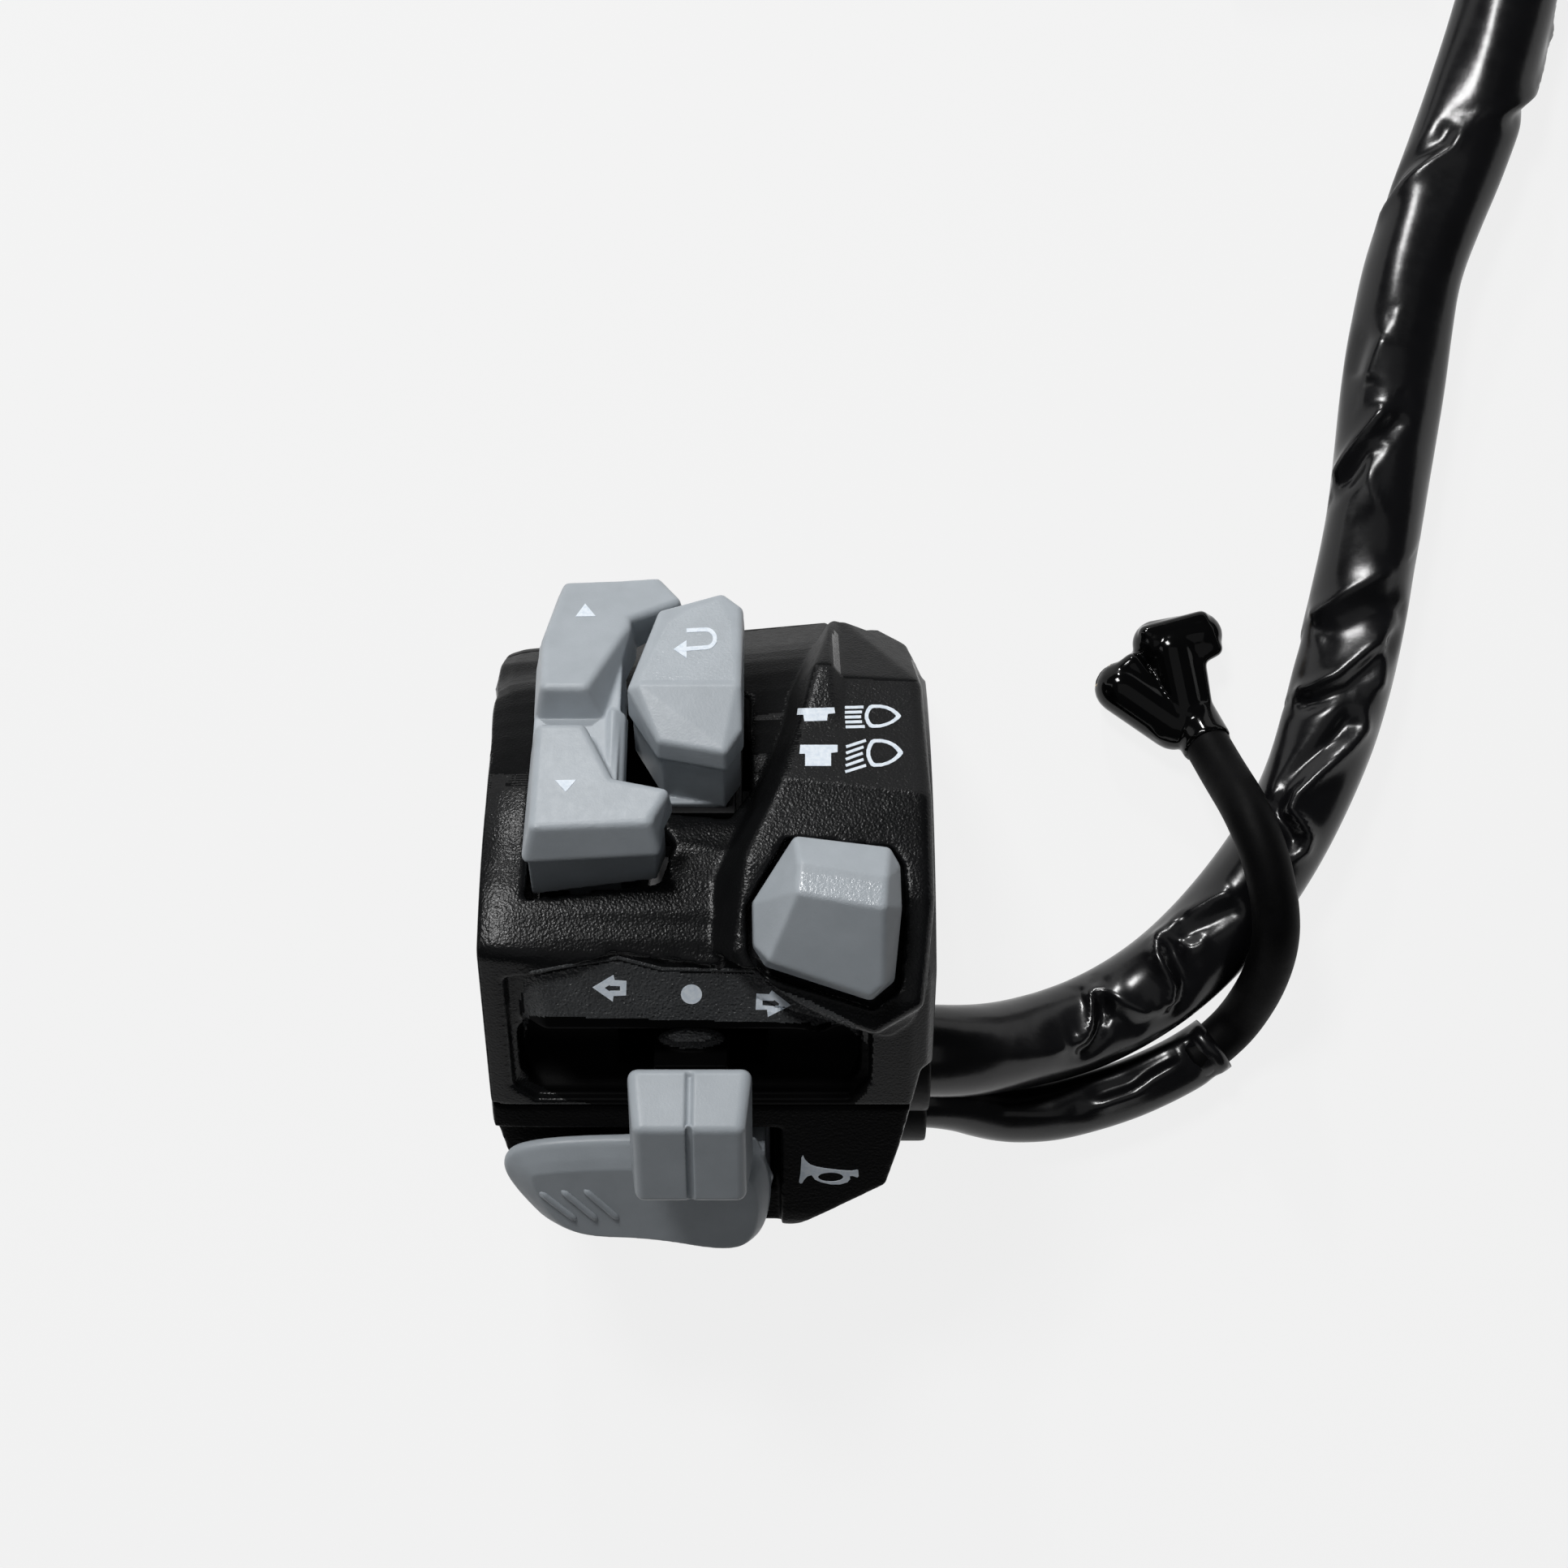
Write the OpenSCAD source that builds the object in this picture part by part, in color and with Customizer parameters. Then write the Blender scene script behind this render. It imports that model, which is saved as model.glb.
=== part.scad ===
// Left-hand handlebar switch cluster for a round bar.
// X runs along the bar, Z points out of the face, and the bar axis is the X axis.

/* [Handlebar] */
// Diameter of the bar that the housing clamps on
bar_d = 22.2; // [22:0.1:22.6]
// Wall of the tunnel round the bar
tunnel_wall = 2.5; // [2:0.1:3]

/* [Housing] */
// Left end of the housing, towards the grip
left_end = -25; // [-26:0.5:-25]
// Right end of the housing
right_end = 24.5; // [24:0.5:26]
// Wall of both shells
wall = 2.4; // [2:0.1:2.8]
// Height of the flat back behind the bar axis
back_z = -19.5; // [-21:0.5:-19]
// Tilt of the parting plane
seam_tilt = -31; // [-32:0.5:-30]
// Growth of the top per millimetre along the bar
taper = 0.09; // [0.06:0.01:0.1]
// Diameter of the housing screws
screw_d = 5; // [4:0.5:5]

/* [Menu keys] */
// Tilt of the menu keys
menu_tilt = -36; // [-37:0.5:-35]
// Diameter of the rocker pin
rocker_pin_d = 2.5; // [2:0.1:3]
// Radial running clearance of the pins
pin_clear = 0.05; // [0.03:0.01:0.08]
// Clearance round keys and stems
key_clear = 0.6; // [0.5:0.05:0.7]
// Travel of the back button
back_travel = 1.8; // [1:0.1:2]

/* [Beam button] */
// Tilt of the beam button
beam_tilt = -12; // [-13:0.5:-11]
// Travel of the beam button
beam_travel = 2.4; // [1.8:0.1:2.4]
// Diameter of the beam button's stem
beam_stem_d = 5; // [4:0.1:5.4]

/* [Turn switch] */
// Tilt of the lower face with the turn recess and the horn
low_tilt = 38; // [37:0.5:39]
// Slide of the turn knob to each side
turn_travel = 3.5; // [2:0.1:4]
// Travel of the turn knob when pushed
cancel_travel = 1.6; // [1:0.1:2]
// Width of the turn knob
knob_w = 13.4; // [12:0.1:14]

/* [Horn] */
// Diameter of the horn pin
horn_pin_d = 2.4; // [2:0.1:2.8]
// Swing of the horn lever in degrees
horn_swing = 4.5; // [3:0.1:5]

/* [Leads] */
// Diameter of the main sleeve
harness_d = 11.4; // [10:0.1:11.6]
// Diameter of the second sleeve
clutch_sleeve_d = 7.4; // [6.5:0.1:7.6]
// Diameter of the thin lead
clutch_lead_d = 5.8; // [5:0.1:6]

/* [Hidden] */
$fn = 48;
bar_r = bar_d / 2;
tunnel_r = bar_r + tunnel_wall;
low_h = 36.5;
big = 200;

shell_black = [0.09, 0.09, 0.1];
key_grey = [0.66, 0.69, 0.72];
soft_black = [0.06, 0.06, 0.065];
steel = [0.75, 0.76, 0.78];
brass = [0.8, 0.65, 0.3];
board_green = [0.1, 0.35, 0.2];
nylon = [0.85, 0.84, 0.8];
switch_black = [0.15, 0.15, 0.16];

// Small vector helpers
function unit(v) = v / norm(v);
function flat(lists) = [for (l = lists) for (p = l) p];
function turn2(v, a) = [v[0] * cos(a) - v[1] * sin(a), v[0] * sin(a) + v[1] * cos(a)];

// Convex outline with a fillet at each corner, given counter-clockwise
function corner(a, b, c, r, n) =
    let (
        u = unit(a - b), w = unit(c - b),
        half = acos(u * w) / 2,
        tangent = r / tan(half),
        middle = b + unit(u + w) * r / sin(half),
        first = b + u * tangent - middle,
        sweep = 180 - 2 * half
    )
    [for (i = [0:n]) middle + turn2(first, sweep * i / n)];
function filleted(pts, radii, steps) =
    let (k = len(pts))
    flat([for (i = [0:k - 1]) corner(pts[(i + k - 1) % k], pts[i], pts[(i + 1) % k], radii[i], steps[i])]);

// The same corners moved in by d along every side
function side_line(a, b, d) = let (u = unit(b - a)) [a + d * [-u[1], u[0]], u];
function crossing(l, m) =
    let (q = m[0] - l[0], den = l[1][0] * m[1][1] - l[1][1] * m[1][0])
    l[0] + l[1] * (q[0] * m[1][1] - q[1] * m[1][0]) / den;
function inset(pts, d) =
    let (k = len(pts), s = [for (i = [0:k - 1]) side_line(pts[i], pts[(i + 1) % k], d)])
    [for (i = [0:k - 1]) crossing(s[(i + k - 1) % k], s[i])];

// Solid through a list of rings, each a list of points in order
module loft(rings) {
    n = len(rings[0]);
    k = len(rings);
    sides = [for (i = [0:k - 2]) for (j = [0:n - 1])
        let (a = i * n + j, b = i * n + (j + 1) % n)
        for (f = [[a, b + n, b], [a, a + n, b + n]]) f];
    polyhedron(flat(rings), concat(sides,
        [[for (j = [0:n - 1]) j]], [[for (j = [n - 1:-1:0]) (k - 1) * n + j]]), convexity = 8);
}

// Round tube along a path, with the path's side direction taken from a fixed up vector
function blend(a, b, c, d, s) = 0.5 * (2 * b + (c - a) * s + (2 * a - 5 * b + 4 * c - d) * s * s
    + (3 * b - a - 3 * c + d) * s * s * s);
function smooth_path(p, per) =
    let (k = len(p))
    concat(flat([for (i = [0:k - 2])
        [for (j = [0:per - 1]) blend(p[max(i - 1, 0)], p[i], p[i + 1], p[min(i + 2, k - 1)], j / per)]]),
        [p[k - 1]]);
function tangent_at(p, i) = unit(p[min(i + 1, len(p) - 1)] - p[max(i - 1, 0)]);
function path_length(p) =
    [for (i = 1, s = norm(p[1] - p[0]); i < len(p); i = i + 1,
        s = i < len(p) ? s + norm(p[i] - p[i - 1]) : s) s][len(p) - 2];
module tube(path, r, sides, up = [0, 0, 1]) {
    loft([for (i = [0:len(path) - 1])
        let (t = tangent_at(path, i), u = unit(cross(up, t)), w = cross(t, u))
        [for (j = [0:sides - 1]) path[i] + r * (cos(360 * j / sides) * u + sin(360 * j / sides) * w)]]);
}

// Coil spring standing on the XY plane, with its wire centres between the two ends
module coil_spring(r, wire, length, turns) {
    steps = 10 * turns;
    path = [for (i = [0:steps]) [r * cos(36 * i), r * sin(36 * i),
        wire / 2 + (length - wire) * i / steps]];
    tube(path, wire / 2, 6);
}

// Rounded block through a list of corner points
module pebble(pts, r) {
    hull()
        for (p = pts)
            translate(p)
                sphere(r, $fn = 16);
}

module box(a, b) {
    translate(a)
        cube(b - a);
}

module rounded_rect(a, b, r) {
    translate(a + [r, 0])
        square([b[0] - a[0] - 2 * r, b[1] - a[1]]);
    translate(a + [0, r])
        square([b[0] - a[0], b[1] - a[1] - 2 * r]);
    for (x = [a[0] + r, b[0] - r])
        for (y = [a[1] + r, b[1] - r])
            translate([x, y])
                circle(r);
}

// Straight block along Z from an outline
module prism(pts, h0, h1) {
    translate([0, 0, h0])
        linear_extrude(h1 - h0)
            polygon(pts);
}

module along_x(x0, x1) {
    translate([x0, 0, 0])
        rotate([90, 0, 90])
            linear_extrude(x1 - x0)
                children();
}

// Tilted frames about the bar axis
module menu() {
    rotate([menu_tilt, 0, 0])
        children();
}
module beam() {
    rotate([beam_tilt, 0, 0])
        children();
}
module low() {
    rotate([low_tilt, 0, 0])
        children();
}
module seam() {
    rotate([seam_tilt, 0, 0])
        children();
}

// Housing section at one place along the bar
function low_point(t, h) = [t * cos(low_tilt) - h * sin(low_tilt), t * sin(low_tilt) + h * cos(low_tilt)];
function section_corners(x) = [
    [10.5 + taper * x, 27],
    low_point(6.9 - taper * x * 0.8, low_h),
    low_point(-34.7, low_h),
    [-42, back_z],
    [20.8 + taper * x, back_z]
];
function section(x, d) = filleted(inset(section_corners(x), d), [40 - d, 2, 5, 6, 6], [14, 4, 4, 4, 6]);
function ring(x, d) = [for (p = section(x, d)) [x, p[0], p[1]]];

module barrel() {
    intersection() {
        loft([ring(left_end, 0.8), ring(left_end + 1, 0.4), ring(left_end + 2.6, 0.1), ring(left_end + 4, 0),
            ring(right_end - 2.6, 0), ring(right_end - 0.8, 0.7), ring(right_end, 1.8)]);
        prism([[left_end + 1, -36], [-22.6, -41.5], [-14, -48], [-10, -60], [8.5, -60], [8.5, -49.6],
            [19.7, -43.4], [21.2, -38.2], [23.2, -29], [40, -20], [40, 8], [24, 14], [22.6, 18.4],
            [18, 22.4], [18, 60], [left_end - 1, 60], [left_end + 1, 0]], -big, big);
    }
}

module front_side() {
    seam()
        box([-big, -big, 0], [big, big, big]);
}

module rear_side() {
    seam()
        box([-big, -big, -big], [big, big, 0]);
}

// Scooped recess of the turn knob, on the lower face
scoop_t = -6.6;
scoop_rise = 1.1;
scoop_h = low_h + scoop_rise;
scoop_r = 6.1;
scoop_left = -20.8;
scoop_right = 16.5;
// Shallow step under the brow, with the arrows on its floor
brow_step = 1.2;
brow_outline = [[-21.4, 5.1], [-21.4, -11], [-19.4, -13], [15.4, -13], [17.6, -10], [17.6, -1], [5, 6.3],
    [-10, 8.1]];
module brow() {
    low()
        prism(brow_outline, low_h - brow_step, 60);
}

module scoop(grow) {
    low()
        intersection() {
            translate([0, scoop_t, scoop_h])
                rotate([0, 90, 0])
                    cylinder(h = big, r = scoop_r + grow, center = true);
            linear_extrude(60)
                rounded_rect([scoop_left - grow, scoop_t - scoop_r - grow],
                    [scoop_right + grow, scoop_t + scoop_r + grow], 4);
        }
}

// Raised pod with the beam button
pod_top = [[15, 20, -1], [21.8, 17.5, -1], [12.2, 13, 18.4], [22.4, 12.5, 18.4], [8.2, 2.2, 28.6], [22.8, 0.6, 29.4],
    [4.4, -6, 31.8], [22.9, -10, 33], [3.3, -15.4, 34], [21.8, -20.4, 34.4], [17.6, -23, 33.6], [4.6, -18, 34]];
pod_foot = [[9, 10, 14], [-0.4, -10.4, 28.4], [-0.8, -15.2, 29.4], [2, -19, 27], [20, -24, 24], [22.4, -16, 22],
    [22.4, 8, 10]];
module pod() {
    pebble(concat(pod_top, pod_foot), 1.2);
}

// Outlines of the menu keys, in the tilted menu frame
rocker_body = [[-18.9, -26], [-5.6, -24], [-4.6, -20.6], [-9.6, -19.6], [-9.6, 1.4], [-18.9, 1.4]];
window = [[-19.6, -26.8], [-5.2, -24.7], [-3.7, -20.2], [-5.2, -17.6], [-5.2, -16.2], [2.2, -17], [4.3, -13.6],
    [4.3, 0.6], [2, 2.2], [-19.6, 2.2]];
back_outline = [[1.3, 8], [-5.8, 5], [-8.8, -7.6], [-5.3, -14.2], [1.9, -15.7], [3.8, -12.5], [3.6, 5.2]];
back_stem = [[-4.4, -15], [1.8, -4]];
guide_top = 17.4;
skirt_foot = 20.6;
// Frame, board and tact switches below the menu keys
frame_low = 11.5;
frame_thick = 1.5;
frame_grip = 3.5;
board_gap = 1.7;
board_thick = 1.2;
tact_h = 3;
pivot_rise = 3;
frame_h = [frame_low, frame_low + frame_thick];
board_h = [frame_low - board_gap - board_thick, frame_low - board_gap];
tact_top = board_h[1] + tact_h;
pivot = [-16, frame_h[1] + pivot_rise];
rocker_foot = tact_top + 0.5;
back_foot = tact_top + back_travel + 0.4;
posts = [[1.2, -21.8], [6.9, -11.2]];

// Outline and stem of the beam button
beam_outline = [[8.6, -10.6], [4.7, -17.6], [4.8, -22.2], [5.9, -24], [17.4, -27.6], [19.7, -25.8], [20.4, -17.4],
    [20.2, -13.2], [19.2, -11.6]];
beam_stem = [13, -15];
case_a = [8, -19, 16.5];
case_b = [18, -11, 21.5];
cap_foot = 31.8;
cap_rise = 7.6;
crease_h = cap_foot + cap_rise;
well_floor = cap_foot - beam_travel - 0.2;

// Housing screws in the seam frame: two places, then the tip and the seat of the head
housing_screw_at = [[-17.6, -25.5, 6.4, -13], [11.2, -25.5, 6.4, -13]];
boss_r = 4.2;
head_r = 4.4;
seat_r = head_r + 2;

// Tongues of the rear shell that hook behind the top edge of the front one
hook_x = [[-14, -4], [6, 16]];
hook_t = [12.8, 14.8];
hook_z = 4.4;
hook_nose = 0.6;

// Stem and slot of the turn knob
knob_x = -2;
stem_t = [-9, -6.2];
stem_w = 5;
tower_t = [-10, -5.2];
tower_w = 8;
tower_top = scoop_h + 1.6;
slider_w = 9;
// Slider and base hang below the floor of the scoop
slider_gap = 0.5;
slider_thick = 4.2;
base_gap = 0.2;
base_thick = 3.2;
base_grip = 3.2;
slider_top = scoop_h - scoop_r - wall - slider_gap;
slider_h = [slider_top - slider_thick, slider_top];
base_h = [slider_h[0] - base_gap - base_thick, slider_h[0] - base_gap];
// Knob above its tower, with room to be pushed
push_gap = 0.1;
knob_foot = tower_top + cancel_travel + push_gap;
knob_tall = 7.1;
knob_r = 1.1;
pocket_floor = 0.6;
stem_foot = slider_h[0] + pocket_floor + cancel_travel + 2 * push_gap;

// Horn lever
horn_outline = [[-21.8, -25.2], [-17.4, -31], [-7.2, -31.4], [1.6, -33.6], [5.2, -32], [7, -25], [5, -18.6],
    [-9, -18.2], [-20.6, -19.4], [-22.6, -21.8]];
horn_pocket = [[-30, -36], [7.8, -36], [7.8, -17.6], [-30, -17.6]];
horn_floor = 33.4;
horn_skin = 27.4;
horn_axis = [4.4, 31.4];
horn_lug_r = 2.1;
horn_lug_t = [-30, -20.6];
horn_pin_t = [-32.8, -17];
horn_spring_foot = 30.2;

// Exits of the leads in the right end
harness_exit = [-30.1, -6];
clutch_exit = [-36.8, -13.2];

module cavity() {
    along_x(left_end + 3.6, right_end - 3.2)
        polygon(section(left_end + 3.6, wall));
}

module tunnel() {
    rotate([0, 90, 0])
        cylinder(h = big, r = tunnel_r, center = true);
}

module bore() {
    rotate([0, 90, 0])
        cylinder(h = big, r = bar_r, center = true);
}

module screw_boss() {
    seam()
        for (s = housing_screw_at)
            translate([s[0], s[1], -60]) {
                cylinder(h = 60 + s[2] + 2, r = boss_r);
                cylinder(h = 60 + s[3] + 2, r = seat_r);
            }
}

module hooks(grow) {
    seam()
        for (x = hook_x) {
            box([x[0] - grow, hook_t[0] - grow, -1], [x[1] + grow, hook_t[1] + grow, hook_z + grow]);
            box([x[0] - grow, hook_t[1] - 1, hook_z - 1.2 - grow],
                [x[1] + grow, hook_t[1] + hook_nose + grow, hook_z + grow]);
        }
}

module hook_roots() {
    seam()
        for (x = hook_x)
            box([x[0], bar_r + 0.7, -3], [x[1], hook_t[1], -0.05]);
}

module front_cavity() {
    difference() {
        cavity();
        tunnel();
        scoop(wall);
        screw_boss();
        menu()
            for (p = posts)
                translate([p[0], p[1], frame_h[1]])
                    cylinder(h = 20, r = 2.3);
        low()
            for (p = base_screw_at)
                translate([p[0], p[1], base_h[1]])
                    cylinder(h = 20, r = base_post_r);
        beam()
            box([case_a[0] - 1.8, case_a[1] - 1.6, case_a[2] + 1], [case_b[0] + 1.8, case_b[1] + 1.6, 60]);
    }
}

module front_housing() {
    color(shell_black)
        difference() {
            union() {
                intersection() {
                    difference() {
                        barrel();
                        scoop(0);
                        brow();
                    }
                    front_side();
                }
                pod();
            }
            intersection() {
                front_cavity();
                front_side();
            }
            bore();
            hooks(0.15);
            menu()
                prism(window, 8, 60);
            beam() {
                prism(inset(beam_outline, -key_clear), well_floor, 60);
                box(case_a + [-0.1, -0.1, -4], [case_b[0] + 0.1, case_b[1] + 0.1, 40]);
            }
            low()
                box([knob_x - tower_w / 2 - turn_travel - key_clear, tower_t[0] - key_clear, 18],
                    [knob_x + tower_w / 2 + turn_travel + key_clear, tower_t[1] + key_clear, 40]);
            seam()
                for (s = housing_screw_at)
                    translate([s[0], s[1], -1])
                        cylinder(h = s[2] + 1.4, d = screw_d);
            menu()
                for (p = posts)
                    translate([p[0], p[1], frame_h[1] - 1])
                        cylinder(h = frame_grip + 1.5, d = 2);
            low()
                for (p = base_screw_at)
                    translate([p[0], p[1], base_h[1] - 1])
                        cylinder(h = base_grip + 1.4, d = base_screw_d);
        }
}

module rear_housing() {
    color(shell_black) {
        hooks(0);
        rear_shell();
    }
}

module rear_shell() {
    difference() {
        union() {
            difference() {
                intersection() {
                    barrel();
                    rear_side();
                }
                difference() {
                    cavity();
                    tunnel();
                    screw_boss();
                    front_side();
                    low()
                        box([-big, -big, horn_skin], [big, big, big]);
                }
                bore();
            }
            hook_roots();
        }
        low() {
            prism(horn_pocket, horn_floor, 60);
            box([horn_base_a[0] - 0.05, horn_base_a[1] - 0.05, 20],
                [horn_base_b[0] + 0.05, horn_base_b[1] + 0.05, 40]);
            translate([horn_spring_at[0], horn_spring_at[1], horn_spring_foot])
                cylinder(h = 8, r = 2.8);
            box([horn_axis[0] - horn_lug_r - 0.5, horn_lug_t[0] - 0.3, horn_axis[1] - horn_lug_r - 0.4],
                [horn_axis[0] + horn_lug_r + 0.5, horn_lug_t[1] + 0.3, 60]);
            translate([horn_axis[0], horn_pin_t[1], horn_axis[1]])
                rotate([90, 0, 0])
                    cylinder(h = horn_pin_t[1] - horn_pin_t[0], d = horn_pin_d);
        }
        seam()
            for (s = housing_screw_at)
                translate([s[0], s[1], 0]) {
                    translate([0, 0, s[3] - 1])
                        cylinder(h = 60, d = screw_d);
                    translate([0, 0, s[3] - 60])
                        cylinder(h = 60, r = head_r + 0.4);
                }
        grommet_body(0);
    }
}

module housing_screws() {
    color(steel)
        seam()
            for (s = housing_screw_at)
                translate([s[0], s[1], s[3]]) {
                    cylinder(h = s[2] - s[3], d = screw_d);
                    difference() {
                        translate([0, 0, -3])
                            cylinder(h = 3, r = head_r);
                        for (a = [0, 90])
                            rotate([0, 0, a])
                                box([-2.2, -0.5, -4], [2.2, 0.5, -1.4]);
                    }
                }
}

// Rocker: two pads on one body, the upper one falling away
function up_at(x, t, drop) = [x, t, 31 - 0.27 * (t + 7) - drop];
down_pad_left = [[-17.6, -24.8, 30.4], [-9.4, -24.4, 30.4], [-10.4, -19.4, 30.4], [-13.6, -12.4, 30.4],
    [-17.6, -12.4, 30.4], [-18.5, -26, 27], [-9, -25, 27], [-12.8, -12, 26], [-18.4, -12, 26]];
down_pad_right = [[-10.6, -24.4, 30.4], [-6.2, -23.9, 30.4], [-4.7, -20.8, 30.4], [-10.6, -19.4, 30.4],
    [-10.6, -24.9, 27.4], [-5.8, -24.6, 28], [-4.4, -20.8, 28], [-10.6, -19.2, 27]];
up_pad_left = [up_at(-17.4, -7, 0), up_at(-13.4, -7, 0), up_at(-9.6, 3.4, 0), up_at(-9.6, 11.4, 0),
    up_at(-16.2, 11, 0), up_at(-17.8, 1, 0), up_at(-18.2, -8.2, 4), up_at(-11.8, -8.2, 4), up_at(-9.2, 3.2, 4.4),
    up_at(-9.6, 12.2, 2.6), up_at(-17, 11.8, 2.6), up_at(-18.6, 0, 4)];
up_pad_right = [up_at(-10, 11.4, 0), up_at(-6.4, 11.8, 0), up_at(-4.3, 8.4, 0), up_at(-10, 5, 0),
    up_at(-10, 12.2, 2.6), up_at(-5.8, 12.4, 2.6), up_at(-3.8, 8.4, 2.8), up_at(-10, 4.8, 4.2)];
module menu_rocker() {
    color(key_grey)
        menu()
            difference() {
                union() {
                    pebble(down_pad_left, 0.8);
                    pebble(down_pad_right, 0.8);
                    pebble(up_pad_left, 0.8);
                    pebble(up_pad_right, 0.8);
                    prism(rocker_body, 18.4, 28);
                    box([-18.9, -22.8, pivot[1] - 1.8], [-9.6, -9.2, 19]);
                    for (t = [-22.8, -11.2])
                        box([-15.4, t, rocker_foot], [-13, t + 2, pivot[1] - 1]);
                }
                translate([0, pivot[0], pivot[1]])
                    rotate([0, 90, 0])
                        cylinder(h = 60, r = rocker_pin_d / 2 + pin_clear, center = true);
            }
}

lug_x = [[-21, -19.5], [-9, -7.4]];
module rocker_pin() {
    color(steel)
        menu()
            translate([lug_x[0][0], pivot[0], pivot[1]])
                rotate([0, 90, 0])
                    cylinder(h = lug_x[1][1] - lug_x[0][0], d = rocker_pin_d);
}

module menu_frame() {
    color(switch_black)
        menu()
            difference() {
                union() {
                    box([lug_x[0][0], -27.4, frame_h[0]], [5.9, -7.6, frame_h[1]]);
                    box([5, -13.4, frame_h[0]], [8.8, -9, frame_h[1]]);
                    for (x = lug_x)
                        box([x[0], pivot[0] - 2.6, frame_h[1] - 0.5], [x[1], pivot[0] + 2.6, pivot[1] + 2.2]);
                    box([back_stem[0][0] - 1.6, back_stem[0][1] - 1.6, frame_h[1] - 0.5],
                        [back_stem[1][0] + 1.6, -7.6, guide_top]);
                    box([back_stem[0][0] - 1.6, -7.8, frame_h[1] + 0.9],
                        [back_stem[1][0] + 1.6, back_stem[1][1] + 1.4, guide_top]);
                    for (p = board_posts)
                        translate([p[0], p[1], board_h[1]])
                            cylinder(h = frame_h[0] - board_h[1] + 0.5, r = 1.6);
                }
                box([back_stem[0][0] - 0.15, back_stem[0][1] - 0.15, 0],
                    [back_stem[1][0] + 0.15, back_stem[1][1] + 0.15, 40]);
                for (s = tact_at)
                    box([s[0] - 3.4, s[1] - 3.4, 0], [s[0] + 3.4, s[1] + 3.4, frame_h[1] + 0.2]);
                box([-16, -24, 0], [-12.4, -9, frame_h[1] + 0.2]);
                translate([0, pivot[0], pivot[1]])
                    rotate([0, 90, 0])
                        cylinder(h = 60, d = rocker_pin_d, center = true);
                for (p = posts)
                    translate([p[0], p[1], 0])
                        cylinder(h = 20, d = 2);
                for (p = board_posts)
                    translate([p[0], p[1], 0])
                        cylinder(h = frame_h[1], d = 1.6);
            }
}

tact_at = [[-14.2, -21.8], [-14.2, -14.2], [-1.3, -14.2]];
board_posts = [[-19.2, -24.6], [4.2, -24.8]];
module menu_board() {
    color(board_green)
        menu()
            difference() {
                box([-20.8, -26.4, board_h[0]], [5.8, -11, board_h[1]]);
                for (p = board_posts)
                    translate([p[0], p[1], 0])
                        cylinder(h = 20, d = 1.6);
            }
}

module menu_switches() {
    color(switch_black)
        menu()
            for (s = tact_at)
                translate([s[0], s[1], board_h[1]]) {
                    box([-3, -3, 0], [3, 3, 2.2]);
                    cylinder(h = tact_h, r = 1.6);
                }
}

module small_screw(d, head, length, thick) {
    cylinder(h = length, d = d);
    translate([0, 0, -thick])
        cylinder(h = thick, r = head);
}

module menu_screws() {
    color(steel)
        menu() {
            for (p = posts)
                translate([p[0], p[1], frame_h[0]])
                    small_screw(2, 1.9, frame_thick + frame_grip, 1.2);
            for (p = board_posts)
                translate([p[0], p[1], board_h[0]])
                    small_screw(1.6, 1.5, board_thick + board_gap + frame_thick - 0.4, 1);
        }
}

// Tall back button with a crease across its face
back_cap = [[1.1, 6.8, 29.2], [-5.2, 4.2, 29.6], [-8, -7.6, 31.4], [-4.9, -13.2, 30], [1.6, -14.6, 30],
    [3, -12.2, 30.4], [2.9, -7.9, 32], [-7.2, -7.9, 32], [2.9, 4.8, 29.6], [1.1, 7.2, 27], [-5.4, 4.4, 27],
    [-8.1, -7.6, 27.6], [-5, -13.4, 28], [1.7, -14.9, 28], [3.1, -12.4, 28], [3, 5, 27]];
module back_button() {
    color(key_grey)
        menu() {
            pebble(back_cap, 0.7);
            prism(inset(back_outline, 0.4), skirt_foot, 28.4);
            box([back_stem[0][0], back_stem[0][1], back_foot], [back_stem[1][0], back_stem[1][1], skirt_foot + 0.4]);
        }
}

// Soft collar that pushes the back button out
module back_collar() {
    color(soft_black)
        menu()
            difference() {
                box([back_stem[0][0] - 1, back_stem[0][1] - 1, guide_top],
                    [back_stem[1][0] + 1, back_stem[1][1] + 1, skirt_foot]);
                box([back_stem[0][0] - 0.2, back_stem[0][1] - 0.2, 10],
                    [back_stem[1][0] + 0.2, back_stem[1][1] + 0.2, 30]);
            }
}

// Beam button with a raised crease
function off_crease(x, t) = t + 17.4 + 0.183 * (x - 9.8);
function lower_face(x, t) = [x, t, crease_h + 0.72 * off_crease(x, t)];
beam_cap = [[9.8, -17.4, crease_h], [18, -18.9, crease_h], [10, -14.6, crease_h - 0.5], [18.2, -16, crease_h - 0.5],
    [9.6, -11.8, crease_h - 2.8], [18.6, -12.9, crease_h - 2.8], [19.4, -14.2, crease_h - 3.4],
    [19.5, -18.6, crease_h - 2.8], lower_face(18, -25.8), lower_face(17, -26.6), lower_face(7, -23.3),
    [5.7, -21.8, crease_h - 5.8], [5.6, -17.8, crease_h - 5]];
cap_r = 0.8;
beam_rim = [[9.4, -11.6], [18.6, -12.5], [19.5, -14], [18.9, -25.2], [17, -26.8], [6.6, -23.4], [5.6, -21.8],
    [5.5, -17.6]];
beam_skirt = [for (p = beam_rim) [p[0], p[1], cap_foot + cap_r]];
module dimmer_button() {
    color(key_grey)
        beam() {
            pebble(concat(beam_cap, beam_skirt), cap_r);
            translate([beam_stem[0], beam_stem[1], case_a[2] + beam_travel])
                cylinder(h = cap_foot + 1 - case_a[2] - beam_travel, d = beam_stem_d);
        }
}

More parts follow.
